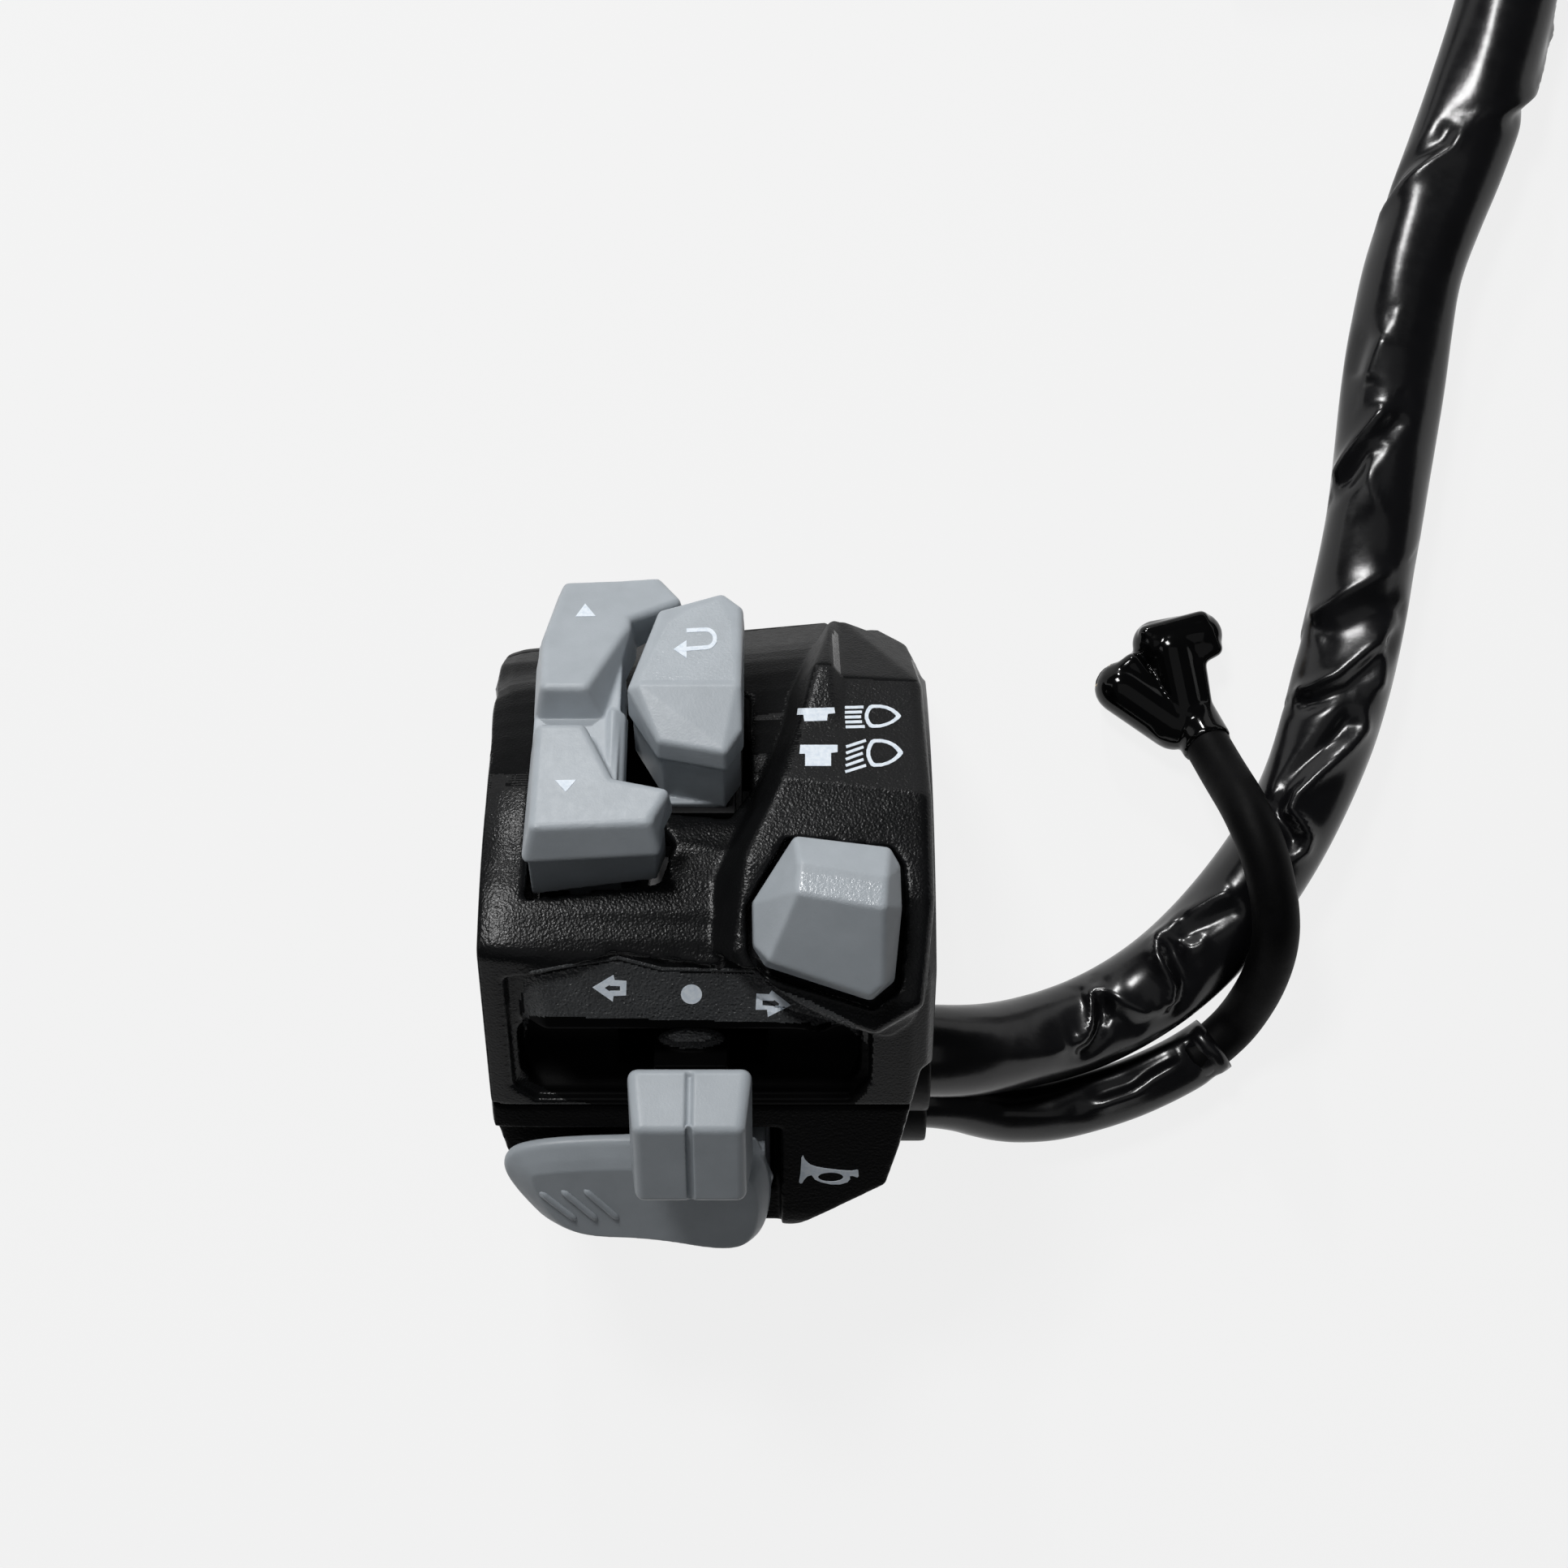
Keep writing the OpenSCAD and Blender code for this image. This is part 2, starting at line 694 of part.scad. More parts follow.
module dimmer_spring() {
    color(steel)
        beam()
            translate([beam_stem[0], beam_stem[1], case_b[2]])
                coil_spring(3.3, 0.6, cap_foot - case_b[2] - 0.05, 6);
}

module dimmer_case() {
    color(switch_black)
        beam()
            difference() {
                box(case_a, case_b);
                translate([beam_stem[0], beam_stem[1], case_a[2] - 1])
                    cylinder(h = 20, r = beam_stem_d / 2 + pin_clear);
            }
}

module dimmer_contacts() {
    color(brass)
        beam()
            for (x = [9.4, 13, 16.6])
                box([x - 0.8, -12.2, 12.4], [x + 0.8, -11.6, case_a[2]]);
}

// Turn knob with a centre groove
knob_half = knob_w / 2 - knob_r;
knob_high = knob_foot + knob_tall - knob_r;
module turn_knob() {
    color(key_grey)
        low()
            difference() {
                union() {
                    hull()
                        for (s = [-1, 1]) {
                            translate([knob_x + s * knob_half, -4.4, knob_foot + knob_r])
                                sphere(knob_r, $fn = 16);
                            translate([knob_x + s * knob_half, -15.8, knob_foot + knob_r + 0.4])
                                sphere(knob_r, $fn = 16);
                            translate([knob_x + s * (knob_half - 0.6), -6.7, knob_high])
                                sphere(knob_r, $fn = 16);
                            translate([knob_x + s * (knob_half - 0.6), -16.3, knob_high])
                                sphere(knob_r, $fn = 16);
                        }
                    box([knob_x - stem_w / 2, stem_t[0], stem_foot], [knob_x + stem_w / 2, stem_t[1], knob_foot + 2.1]);
                }
                box([knob_x - 0.35, -40, knob_high + 0.5], [knob_x + 0.35, -4, 60]);
            }
}

module turn_slider() {
    color(shell_black)
        low()
            difference() {
                union() {
                    box([knob_x - slider_w / 2, tower_t[0], slider_h[0]], [knob_x + slider_w / 2, -1, slider_h[1]]);
                    box([knob_x - tower_w / 2, tower_t[0], slider_h[0]], [knob_x + tower_w / 2, tower_t[1], tower_top]);
                }
                box([knob_x - stem_w / 2 - 0.15, stem_t[0] - 0.15, slider_h[0] + pocket_floor],
                    [knob_x + stem_w / 2 + 0.15, stem_t[1] + 0.15, 60]);
                translate([knob_x, -2.2, 0])
                    cylinder(h = slider_h[1] - 0.8, r = 1.1);
            }
}

base_screw_at = [[-12, -0.6], [-12, -5]];
base_post_r = 1.6;
base_screw_d = 1.8;
module turn_base() {
    color(switch_black)
        low()
            difference() {
                box([-13.2, -6.4, base_h[0]], [6.2, 1.2, base_h[1]]);
                for (p = base_screw_at)
                    translate([p[0], p[1], 0])
                        cylinder(h = 40, d = base_screw_d);
            }
}

module turn_screws() {
    color(steel)
        low()
            for (p = base_screw_at)
                translate([p[0], p[1], base_h[0]])
                    small_screw(base_screw_d, 1.7, base_thick + base_grip, 1.2);
}

module turn_push_spring() {
    color(steel)
        low()
            translate([knob_x, (stem_t[0] + stem_t[1]) / 2, slider_h[0] + pocket_floor])
                coil_spring(1.3, 0.4, stem_foot - slider_h[0] - pocket_floor - 0.05, 3);
}

module detent_ball() {
    color(steel)
        low()
            translate([knob_x, -2.2, base_h[1] + 1.1])
                sphere(1);
}

module detent_spring() {
    color(steel)
        low()
            translate([knob_x, -2.2, base_h[1] + 2.15])
                coil_spring(0.75, 0.3, slider_h[1] - 0.8 - base_h[1] - 2.15, 3);
}

// Horn paddle, hinged at its right end
horn_face = [for (p = inset(horn_outline, 1.9)) [p[0], p[1], 38.3]];
horn_back = [for (p = inset(horn_outline, 0.8)) [p[0], p[1], 36.9]];
module horn_lever() {
    color(key_grey)
        low()
            difference() {
                union() {
                    pebble(concat(horn_face, horn_back), 0.8);
                    translate([horn_axis[0], horn_lug_t[1], horn_axis[1]])
                        rotate([90, 0, 0])
                            cylinder(h = horn_lug_t[1] - horn_lug_t[0], r = horn_lug_r);
                    box([horn_axis[0] - 1.6, horn_lug_t[0], horn_axis[1]], [horn_axis[0] + 1.6, horn_lug_t[1], 37]);
                    translate([horn_contact_at[0], horn_contact_at[1], 35.6])
                        cylinder(h = 2, r = 1.2);
                }
                translate([horn_axis[0], 0, horn_axis[1]])
                    rotate([90, 0, 0])
                        cylinder(h = 60, r = horn_pin_d / 2 + pin_clear);
            }
}

module horn_pin() {
    color(steel)
        low()
            translate([horn_axis[0], horn_pin_t[1], horn_axis[1]])
                rotate([90, 0, 0])
                    cylinder(h = horn_pin_t[1] - horn_pin_t[0], d = horn_pin_d);
}

horn_spring_at = [-14, -25];
module horn_spring() {
    color(steel)
        low()
            translate([horn_spring_at[0], horn_spring_at[1], horn_spring_foot])
                coil_spring(2, 0.6, 36.05 - horn_spring_foot, 4);
}

horn_contact_at = [-4, -25.5];
horn_base_a = [-7, -29, 26.4];
horn_base_b = [1, -22, 33];
module horn_base() {
    color(switch_black)
        low()
            box(horn_base_a, horn_base_b);
}

module horn_contact() {
    color(brass)
        low()
            translate([horn_contact_at[0], horn_contact_at[1], horn_base_b[2]])
                cylinder(h = 1.8, r = 1.8);
}

// Rubber gland round both sleeves
module grommet_body(grow) {
    along_x(18, 25.6) {
        translate(harness_exit)
            circle(harness_d / 2 + 1.5 + grow);
        translate(clutch_exit)
            circle(clutch_sleeve_d / 2 + 1.5 + grow);
    }
}

module harness_grommet() {
    color(soft_black)
        difference() {
            grommet_body(0);
            along_x(10, 40) {
                translate(harness_exit)
                    circle(harness_d / 2 + 0.15);
                translate(clutch_exit)
                    circle(clutch_sleeve_d / 2 + 0.15);
            }
        }
}

wire_route = [[16.6, -27.4, -10.2], [14.4, -24.8, -11.4], [10, -21, -11], [3, -22, -9.5], [-2, -27, -7],
    [-3, -31.5, -1.2], [-3, -33.8, 1.8], [-3, -36.3, 5]];
module wire_bundle() {
    color(soft_black)
        tube(smooth_path(wire_route, 2), 1.6, 8);
}

// Main sleeve: out of the gland, along the floor and into a loop with the connector
floor_z = back_z;
lead_z = floor_z + harness_d / 2 + 0.1;
loop_mid = [48, 186];
loop_r = 55;
harness_route = [[18.2, -30.1, -6], [22, -30.1, -6], [26, -30.1, -6], [31, -30.2, -7.6],
    [38, -29.6, -11.2], [46, -27.4, lead_z],
    [55, -22, lead_z], [63, -14.4, lead_z], [70, -4.4, lead_z], [75.4, 7.6, lead_z], [79, 21, lead_z],
    [81.8, 36, lead_z], [84, 51, lead_z], [86.6, 66, lead_z], [91.6, 80, lead_z], [97, 96, lead_z],
    [101, 116, lead_z], [103, 150, lead_z]];
loop_turn = 270;
loop_path = [for (i = [0:19]) let (a = loop_turn * i / 19)
    [loop_mid[0] + loop_r * cos(a), loop_mid[1] + loop_r * sin(a), lead_z]];
loop_end = loop_path[19] + 6 * [-sin(loop_turn), cos(loop_turn), 0];
harness_path = concat(smooth_path(harness_route, 2), loop_path, [loop_end]);
echo(harness_length = path_length(harness_path));
module harness_sheath() {
    color(soft_black)
        tube(harness_path, harness_d / 2, 12);
}

// Pieces at the end of the loop, in a frame that points along the lead
module lead_end() {
    translate([loop_end[0], loop_end[1], floor_z])
        rotate([0, 0, loop_turn + 90])
            children();
}

module harness_tape() {
    color(switch_black)
        lead_end()
            translate([0.1, 0, lead_z - floor_z])
                rotate([0, 90, 0])
                    cylinder(h = 6, r = harness_d / 2 - 0.4);
}

connector_x = [6.1, 30];
module harness_connector() {
    color(nylon)
        lead_end()
            difference() {
                union() {
                    box([connector_x[0], -10.5, 0.1], [connector_x[1], 10.5, 11.2]);
                    box([connector_x[0] + 5, -3, 11], [connector_x[1] - 4, 3, 13.4]);
                }
                box([connector_x[1] - 12, -9.1, 1.5], [connector_x[1] + 1, 9.1, 9.8]);
            }
}

module connector_pins() {
    color(brass)
        lead_end()
            for (y = [-7.5:3:7.5])
                for (z = [3.6, 7.6])
                    box([connector_x[1] - 12, y - 0.5, z - 0.4], [connector_x[1] - 5.6, y + 0.5, z + 0.4]);
}

// Second sleeve and the thin lead that comes out of it
sleeve_z = floor_z + clutch_sleeve_d / 2 + 0.1;
sleeve_route = [[18.2, -36.8, -13.2], [22, -36.8, -13.2], [26, -36.8, -13.2], [30, -37.4, -14.2],
    [35, -38.6, sleeve_z], [42, -38.4, sleeve_z], [51, -36, sleeve_z], [58, -32.8, sleeve_z], [62, -30.2, sleeve_z]];
lead_route = [[58.8, -32.4, sleeve_z], [62, -30.2, sleeve_z], [65.2, -26.6, -14.4], [67.2, -21, -9], [67.6, -15, -4.6],
    [66.4, -7.6, -3.9], [64.4, -1.4, -5.8], [62.2, 4, -11.2], [59.8, 9.4, -15.4], [58.6, 11.6, -15.8]];
sleeve_path = smooth_path(sleeve_route, 2);
lead_path = smooth_path(lead_route, 3);
echo(clutch_length = path_length(sleeve_path) + path_length(lead_path));
module clutch_sheath() {
    color(soft_black)
        difference() {
            tube(sleeve_path, clutch_sleeve_d / 2, 10);
            tube(lead_path, clutch_lead_d / 2 + 0.1, 10);
        }
}

module clutch_lead() {
    color(soft_black)
        tube(lead_path, clutch_lead_d / 2, 10);
}

// Two flag-shaped boots on the thin lead, as runs from one point to the next
boot_runs = [[[57, 9.8], [50.3, 14.4], 3.3], [[58.2, 11.4], [56.6, 19], 3.3], [[54.8, 19.9], [60.2, 20.9], 3]];
module boot(run) {
    hull()
        for (i = [0, 1])
            translate([run[i][0], run[i][1], floor_z + 0.1 + run[2]])
                sphere(run[2], $fn = 20);
}

// Blades along the two flags, each from the run's first point outwards
module terminal_blades(grow, reach) {
    for (i = [0, 2]) {
        run = boot_runs[i];
        way = run[1] - run[0];
        translate([run[0][0], run[0][1], floor_z + 0.1 + run[2]])
            rotate([0, 0, atan2(way[1], way[0])])
                box([1.6 - grow, -1.6 - grow, -0.4 - grow], [norm(way) + run[2] + reach, 1.6 + grow, 0.4 + grow]);
    }
}

module clutch_boots() {
    color(soft_black)
        difference() {
            union() {
                for (run = boot_runs)
                    boot(run);
            }
            tube(lead_path, clutch_lead_d / 2 + 0.1, 10);
            terminal_blades(0.1, 1);
        }
}

module clutch_terminals() {
    color(brass)
        terminal_blades(0, -0.6);
}

front_housing();
rear_housing();
housing_screws();
menu_rocker();
rocker_pin();
menu_frame();
menu_screws();
menu_board();
menu_switches();
back_button();
back_collar();
dimmer_button();
dimmer_spring();
dimmer_case();
dimmer_contacts();
turn_knob();
turn_slider();
turn_base();
turn_screws();
turn_push_spring();
detent_ball();
detent_spring();
horn_lever();
horn_pin();
horn_spring();
horn_base();
horn_contact();
harness_grommet();
wire_bundle();
harness_sheath();
harness_tape();
harness_connector();
connector_pins();
clutch_sheath();
clutch_lead();
clutch_boots();
clutch_terminals();
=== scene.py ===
import math

import bmesh
import bpy
import numpy as np
from mathutils import Matrix, Vector, noise
from mathutils.bvhtree import BVHTree
from mathutils.geometry import tessellate_polygon


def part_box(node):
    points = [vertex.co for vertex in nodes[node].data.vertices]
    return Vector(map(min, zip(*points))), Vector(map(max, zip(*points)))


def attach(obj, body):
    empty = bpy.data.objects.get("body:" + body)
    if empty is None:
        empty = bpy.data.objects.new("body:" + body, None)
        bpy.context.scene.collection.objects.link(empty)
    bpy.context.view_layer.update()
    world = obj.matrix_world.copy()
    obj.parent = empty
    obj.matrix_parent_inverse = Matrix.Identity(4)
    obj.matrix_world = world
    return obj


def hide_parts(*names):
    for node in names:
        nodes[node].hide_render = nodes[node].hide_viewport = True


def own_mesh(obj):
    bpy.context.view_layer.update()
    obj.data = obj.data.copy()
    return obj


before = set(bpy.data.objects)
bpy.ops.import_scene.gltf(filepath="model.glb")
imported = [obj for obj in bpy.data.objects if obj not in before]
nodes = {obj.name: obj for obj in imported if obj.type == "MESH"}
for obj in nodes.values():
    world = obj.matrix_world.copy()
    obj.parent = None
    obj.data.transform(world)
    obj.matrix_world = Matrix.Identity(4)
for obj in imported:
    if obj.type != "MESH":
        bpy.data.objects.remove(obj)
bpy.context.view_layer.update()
scene = bpy.context.scene
MM = 0.001
PI = math.pi

# ---- Camera, straight above the face, as in the photograph
PHOTO = 1932
FOCAL_PX = 3105.0
SENSOR = 36.0
MIDDLE = PHOTO / 2
EYE = Vector((8.1, 2.3, 300.0)) * MM

camera = bpy.data.objects.new("camera", bpy.data.cameras.new("camera"))
camera.data.sensor_width = SENSOR
camera.data.lens = SENSOR * FOCAL_PX / PHOTO
camera.data.clip_start = 0.01
camera.data.clip_end = 30.0
camera.location = EYE
scene.collection.objects.link(camera)
scene.camera = camera
scene.view_settings.view_transform = "Standard"


def add(name, data):
    ob = bpy.data.objects.new(name, data)
    scene.collection.objects.link(ob)
    return ob


def pixel_ray(u, v):
    """The way from the eye through a pixel of the photograph."""
    return Vector(((u - MIDDLE) / FOCAL_PX, -(v - MIDDLE) / FOCAL_PX, -1.0)).normalized()


# ---- Materials
class Paint:
    """A principled material and its nodes; places are in metres on the piece itself."""

    def __init__(self, name, colour, roughness, metallic=0.0, specular=0.5):
        self.material = bpy.data.materials.new(name)
        self.material.use_nodes = True
        self.nt = self.material.node_tree
        self.shader = self.nt.nodes["Principled BSDF"]
        self.shader.inputs["Base Color"].default_value = (*colour, 1)
        self.shader.inputs["Roughness"].default_value = roughness
        self.shader.inputs["Metallic"].default_value = metallic
        self.shader.inputs["Specular IOR Level"].default_value = specular
        self.where = self.node("TexCoord").outputs["Object"]
        self.height = None

    def node(self, kind):
        return self.nt.nodes.new("ShaderNode" + kind)

    def link(self, a, b):
        self.nt.links.new(a, b)

    def noise(self, size, detail=2.0, rough=0.5, stretch=None):
        n = self.node("TexNoise")
        n.inputs["Scale"].default_value = 1.0 / size
        n.inputs["Detail"].default_value = detail
        n.inputs["Roughness"].default_value = rough
        place = self.where
        if stretch:
            m = self.node("Mapping")
            m.inputs["Scale"].default_value = stretch
            self.link(self.where, m.inputs["Vector"])
            place = m.outputs["Vector"]
        self.link(place, n.inputs["Vector"])
        return n.outputs["Fac"]

    def cells(self, size):
        n = self.node("TexVoronoi")
        n.inputs["Scale"].default_value = 1.0 / size
        self.link(self.where, n.inputs["Vector"])
        return n.outputs["Distance"]

    def colour(self, fac, *stops):
        """A blend of two colours, each given after its place on the scale."""
        n = self.node("ValToRGB")
        for e, (place, c) in zip(n.color_ramp.elements, stops):
            e.position = place
            e.color = (*c, 1)
        self.link(fac, n.inputs["Fac"])
        self.link(n.outputs["Color"], self.shader.inputs["Base Color"])

    def roughness(self, fac, low, high):
        n = self.node("MapRange")
        n.inputs["To Min"].default_value = low
        n.inputs["To Max"].default_value = high
        self.link(fac, n.inputs["Value"])
        self.link(n.outputs["Result"], self.shader.inputs["Roughness"])

    def bump(self, fac, depth, strength):
        n = self.node("Bump")
        n.inputs["Distance"].default_value = depth
        n.inputs["Strength"].default_value = strength
        self.link(fac, n.inputs["Height"])
        if self.height:
            self.link(self.height, n.inputs["Normal"])
        self.height = n.outputs["Normal"]
        self.link(self.height, self.shader.inputs["Normal"])


def scaled(colour, share):
    return tuple(share * c for c in colour)


def grained_black(name, base, rough, specular, grain, depth):
    """Spark-eroded black plastic: small sharp grains that catch the light one by one."""
    grain, depth = grain * MM, depth * MM
    p = Paint(name, base, rough, specular=specular)
    p.colour(p.noise(6 * MM, 3.0), (0.3, scaled(base, 0.75)), (0.7, scaled(base, 1.25)))
    p.roughness(p.noise(0.9 * MM, 2.0), rough - 0.05, rough + 0.08)
    p.bump(p.cells(grain), 0.6 * depth, 0.9)
    p.bump(p.noise(0.8 * grain, 1.0, 0.5), depth, 0.9)
    return p.material


GREY_DARK, GREY_MEAN, GREY_PALE = (0.372, 0.406, 0.436), (0.45, 0.47, 0.49), (0.418, 0.455, 0.488)


def key_grey(name, grain, depth, rough, tone=1.0, specular=0.30):
    """Light grey satin moulding, with a fine grain."""
    p = Paint(name, GREY_MEAN, rough, specular=specular)
    p.colour(p.noise(5 * MM, 4.0, 0.6), (0.32, scaled(GREY_DARK, tone)),
             (0.68, scaled(GREY_PALE, tone)))
    p.roughness(p.noise(0.8 * MM, 3.0), rough - 0.07, rough + 0.07)
    p.bump(p.noise(grain * MM, 2.0, 0.6), depth * MM, 0.8)
    return p.material


def glossy_black(name, colour, rough, specular, size, depth):
    """Soft glossy black, with small ripples and smudges."""
    p = Paint(name, colour, rough, specular=specular)
    p.colour(p.noise(9 * MM, 3.0), (0.3, scaled(colour, 0.8)), (0.7, scaled(colour, 1.3)))
    p.roughness(p.noise(2.4 * MM, 4.0, 0.6), rough * 0.7, rough * 1.6)
    p.bump(p.noise(size * MM, 3.0, 0.55), depth * MM, 0.6)
    return p.material


def matte(name, colour, rough, size, depth, stretch=None, specular=0.16):
    """Dull rubber, tape or wire cover."""
    p = Paint(name, colour, rough, specular=specular)
    p.colour(p.noise(3 * MM, 4.0, 0.6), (0.3, scaled(colour, 0.75)), (0.7, scaled(colour, 1.3)))
    p.roughness(p.noise(1.1 * MM, 3.0), rough - 0.08, rough + 0.1)
    p.bump(p.noise(size * MM, 3.0, 0.6, stretch), depth * MM, 0.8)
    return p.material


def metal(name, colour, rough, stretch):
    """Drawn or rolled metal, brushed along one axis."""
    p = Paint(name, colour, rough, metallic=1.0)
    p.colour(p.noise(1.2 * MM, 4.0, 0.6), (0.3, scaled(colour, 0.82)), (0.7, colour))
    p.roughness(p.noise(0.25 * MM, 3.0, 0.5, stretch), rough - 0.08, rough + 0.12)
    p.bump(p.noise(0.2 * MM, 2.0, 0.5, stretch), 0.008 * MM, 0.5)
    return p.material


def printed_white():
    """Tampo print: even white, thinner towards the grain below it."""
    p = Paint("print_white", (0.80, 0.86, 0.92), 0.55, specular=0.3)
    p.colour(p.noise(0.5 * MM, 3.0, 0.6), (0.30, (0.68, 0.76, 0.85)), (0.62, (0.84, 0.90, 0.96)))
    p.bump(p.noise(0.25 * MM, 2.0), 0.01 * MM, 0.6)
    return p.material


def moulded(name, low, high, rough, size, depth):
    """Plain moulded plastic, mottled between two colours."""
    p = Paint(name, high, rough, specular=0.4)
    p.colour(p.noise(2.5 * MM, 4.0, 0.6), (0.3, low), (0.7, high))
    p.roughness(p.noise(0.7 * MM, 3.0), rough - 0.06, rough + 0.08)
    p.bump(p.noise(size * MM, 2.0), depth * MM, 0.7)
    return p.material


# Colour, roughness, specular level, then the size and depth of the grain in millimetres
SHELL = grained_black("shell_grain", (0.0050, 0.0052, 0.0056), 0.24, 0.16, 0.32, 0.036)
# A darker, smoother copy of the shell black: painted shade for the recess below the brow, the
# knob's stem and the slider in the recess.
SMOOTH_SHADE = grained_black("shell_smooth_shade", (0.0016, 0.0016, 0.0017), 0.50, 0.03, 0.30, 0.01)
# A darker, duller copy of the shell black: painted shade on the rear shell's faces toward the
# camera.
LOWER_SHADED = grained_black("shell_lower_shaded", (0.0022, 0.0022, 0.0024), 0.36, 0.02, 0.36, 0.06)
STEEP = grained_black("shell_steep", (0.0050, 0.0052, 0.0055), 0.36, 0.020, 0.32, 0.05)
# A lighter, glossier copy of the shell black: painted light on the end faces and the rear shell's
# underside, which the lamps leave black.
SIDE_LIT = grained_black("shell_side_lit", (0.0090, 0.0093, 0.0098), 0.33, 0.30, 0.34, 0.05)
# A much lighter copy of the shell black: painted light for the band below the brow's crease, the
# lip along it and the rim of the bump on the slider.
BROW_LIT = grained_black("shell_brow_lit", (0.046, 0.048, 0.050), 0.30, 0.20, 0.36, 0.22)
# A light grey copy of the shell: painted highlight on the top of the bump on the slider.
DOME_HIGHLIGHT = grained_black("shell_dome_highlight", (0.150, 0.154, 0.158), 0.26, 0.75, 0.34, 0.24)
# Size and depth of the grain in millimetres, roughness, tone and specular level
KEY = key_grey("key_satin", 0.26, 0.022, 0.38)
# A coarser, glossier grain on the key grey, with a tone a little lighter as a painted highlight:
# for the sparkling upper facet of the back key and the band along the dimmer's crease.
KEY_COARSE_LIT = key_grey("key_coarse_lit", 0.34, 0.09, 0.24, 1.05, 0.65)
# A slightly darker, duller copy of the key grey: painted shade for the rocker's skirt under the
# lower pad and for the groove on the knob.
KEY_SHADE = key_grey("key_shade", 0.26, 0.020, 0.46, 0.96)
PVC = glossy_black("sleeve_pvc", (0.0045, 0.0045, 0.0052), 0.20, 0.45, 2.4, 0.05)
LEAD = matte("lead_rubber", (0.0028, 0.0028, 0.0030), 0.50, 0.3, 0.02, specular=0.06)
BOOT = glossy_black("boot_rubber", (0.0020, 0.0020, 0.0021), 0.09, 0.26, 3.0, 0.03)
GLAND = matte("gland_rubber", (0.010, 0.010, 0.0105), 0.5, 0.3, 0.02)
PRINT = printed_white()
STEEL = metal("zinc_steel", (0.55, 0.56, 0.58), 0.32, (1, 1, 6))
SPRING = metal("spring_wire", (0.48, 0.48, 0.50), 0.25, (1, 1, 4))
BRASS = metal("contact_brass", (0.66, 0.48, 0.20), 0.28, (4, 1, 1))
BLACK_PART = moulded("switch_black", (0.016, 0.016, 0.017), (0.026, 0.026, 0.028), 0.45, 0.3, 0.02)
BOARD = moulded("board_green", (0.012, 0.060, 0.030), (0.020, 0.095, 0.048), 0.35, 0.5, 0.02)
NYLON = moulded("connector_nylon", (0.62, 0.61, 0.56), (0.74, 0.73, 0.68), 0.42, 0.4, 0.015)
TAPE = matte("wound_tape", (0.012, 0.012, 0.0125), 0.6, 0.35, 0.05, (1, 3, 3))


# ---- Meshes
def smooth_path(points, per):
    """The route of part.scad: a spline through the points, per steps in each span."""
    pts = [Vector(p) for p in points]
    k = len(pts)
    out = []
    for i in range(k - 1):
        a, b, c, d = pts[max(i - 1, 0)], pts[i], pts[i + 1], pts[min(i + 2, k - 1)]
        for j in range(per):
            s = j / per
            out.append(0.5 * (2 * b + (c - a) * s + (2 * a - 5 * b + 4 * c - d) * s * s
                              + (3 * b - a - 3 * c + d) * s * s * s))
    return out + [pts[-1]]


def runs_of(path):
    """The length along a path up to each of its points."""
    out = [0.0]
    for a, b in zip(path, path[1:]):
        out.append(out[-1] + (b - a).length)
    return out


def resample(path, step):
    """Points at equal steps along a path, on a curve through its points."""
    fine = smooth_path(path, 8)
    run = runs_of(fine)
    n = max(2, int(round(run[-1] / step)))
    out, j = [], 0
    for i in range(n + 1):
        want = run[-1] * i / n
        while j < len(run) - 2 and run[j + 1] < want:
            j += 1
        t = (want - run[j]) / max(run[j + 1] - run[j], 1e-12)
        out.append(fine[j].lerp(fine[j + 1], min(max(t, 0.0), 1.0)))
    return out


def frames_along(path):
    """For each point of a path its tangent, a level side vector and the upward one."""
    out = []
    for i, p in enumerate(path):
        t = (path[min(i + 1, len(path) - 1)] - path[max(i - 1, 0)]).normalized()
        side = Vector((0, 0, 1)).cross(t).normalized()
        out.append((t, side, t.cross(side)))
    return out


def to_mesh(bm, name):
    """A mesh of a bmesh, which is freed."""
    mesh = bpy.data.meshes.new(name)
    bm.to_mesh(mesh)
    bm.free()
    return mesh


def loft(bm, rings):
    """Side faces from ring to ring, and one face over each end."""
    for a, b in zip(rings, rings[1:]):
        for j in range(len(a)):
            k = (j + 1) % len(a)
            bm.faces.new((a[j], a[k], b[k], b[j]))
    bm.faces.new(list(reversed(rings[0])))
    bm.faces.new(rings[-1])
    bmesh.ops.recalc_face_normals(bm, faces=bm.faces)


def circle(r):
    """The shape of a plain round tube."""
    return lambda s, angle, i: (r * math.cos(angle), r * math.sin(angle))


MOUTH_WALL = 0.0006


def tube(name, path, sides, shape, open_end=0.0):
    """Closed tube along a path in millimetres; shape(s, angle, i) gives the sideways and upward
    offset. With open_end, the far end is a hollow mouth of that depth."""
    bm = bmesh.new()
    rings = []
    axes = frames_along(path)
    for i, (p, s) in enumerate(zip(path, runs_of(path))):
        _, side, up = axes[i]
        ring = []
        for j in range(sides):
            dx, dz = map(float, shape(s, 2 * PI * j / sides, i))
            ring.append(bm.verts.new((p + dx * side + dz * up) * MM))
        rings.append(ring)
    if open_end:
        last = [v.co.copy() for v in rings[-1]]
        mid = sum(last, Vector()) / sides
        t = axes[-1][0]
        for inset, depth in ((0.55, 0.0), (0.75, 0.5), (0.75, open_end)):
            ring = []
            for co in last:
                way = co - mid
                shrink = 1 - inset * MOUTH_WALL / way.length
                ring.append(bm.verts.new(mid + way * shrink - t * depth * MM))
            rings.append(ring)
    loft(bm, rings)
    mesh = to_mesh(bm, name)
    mesh.shade_smooth()
    return mesh


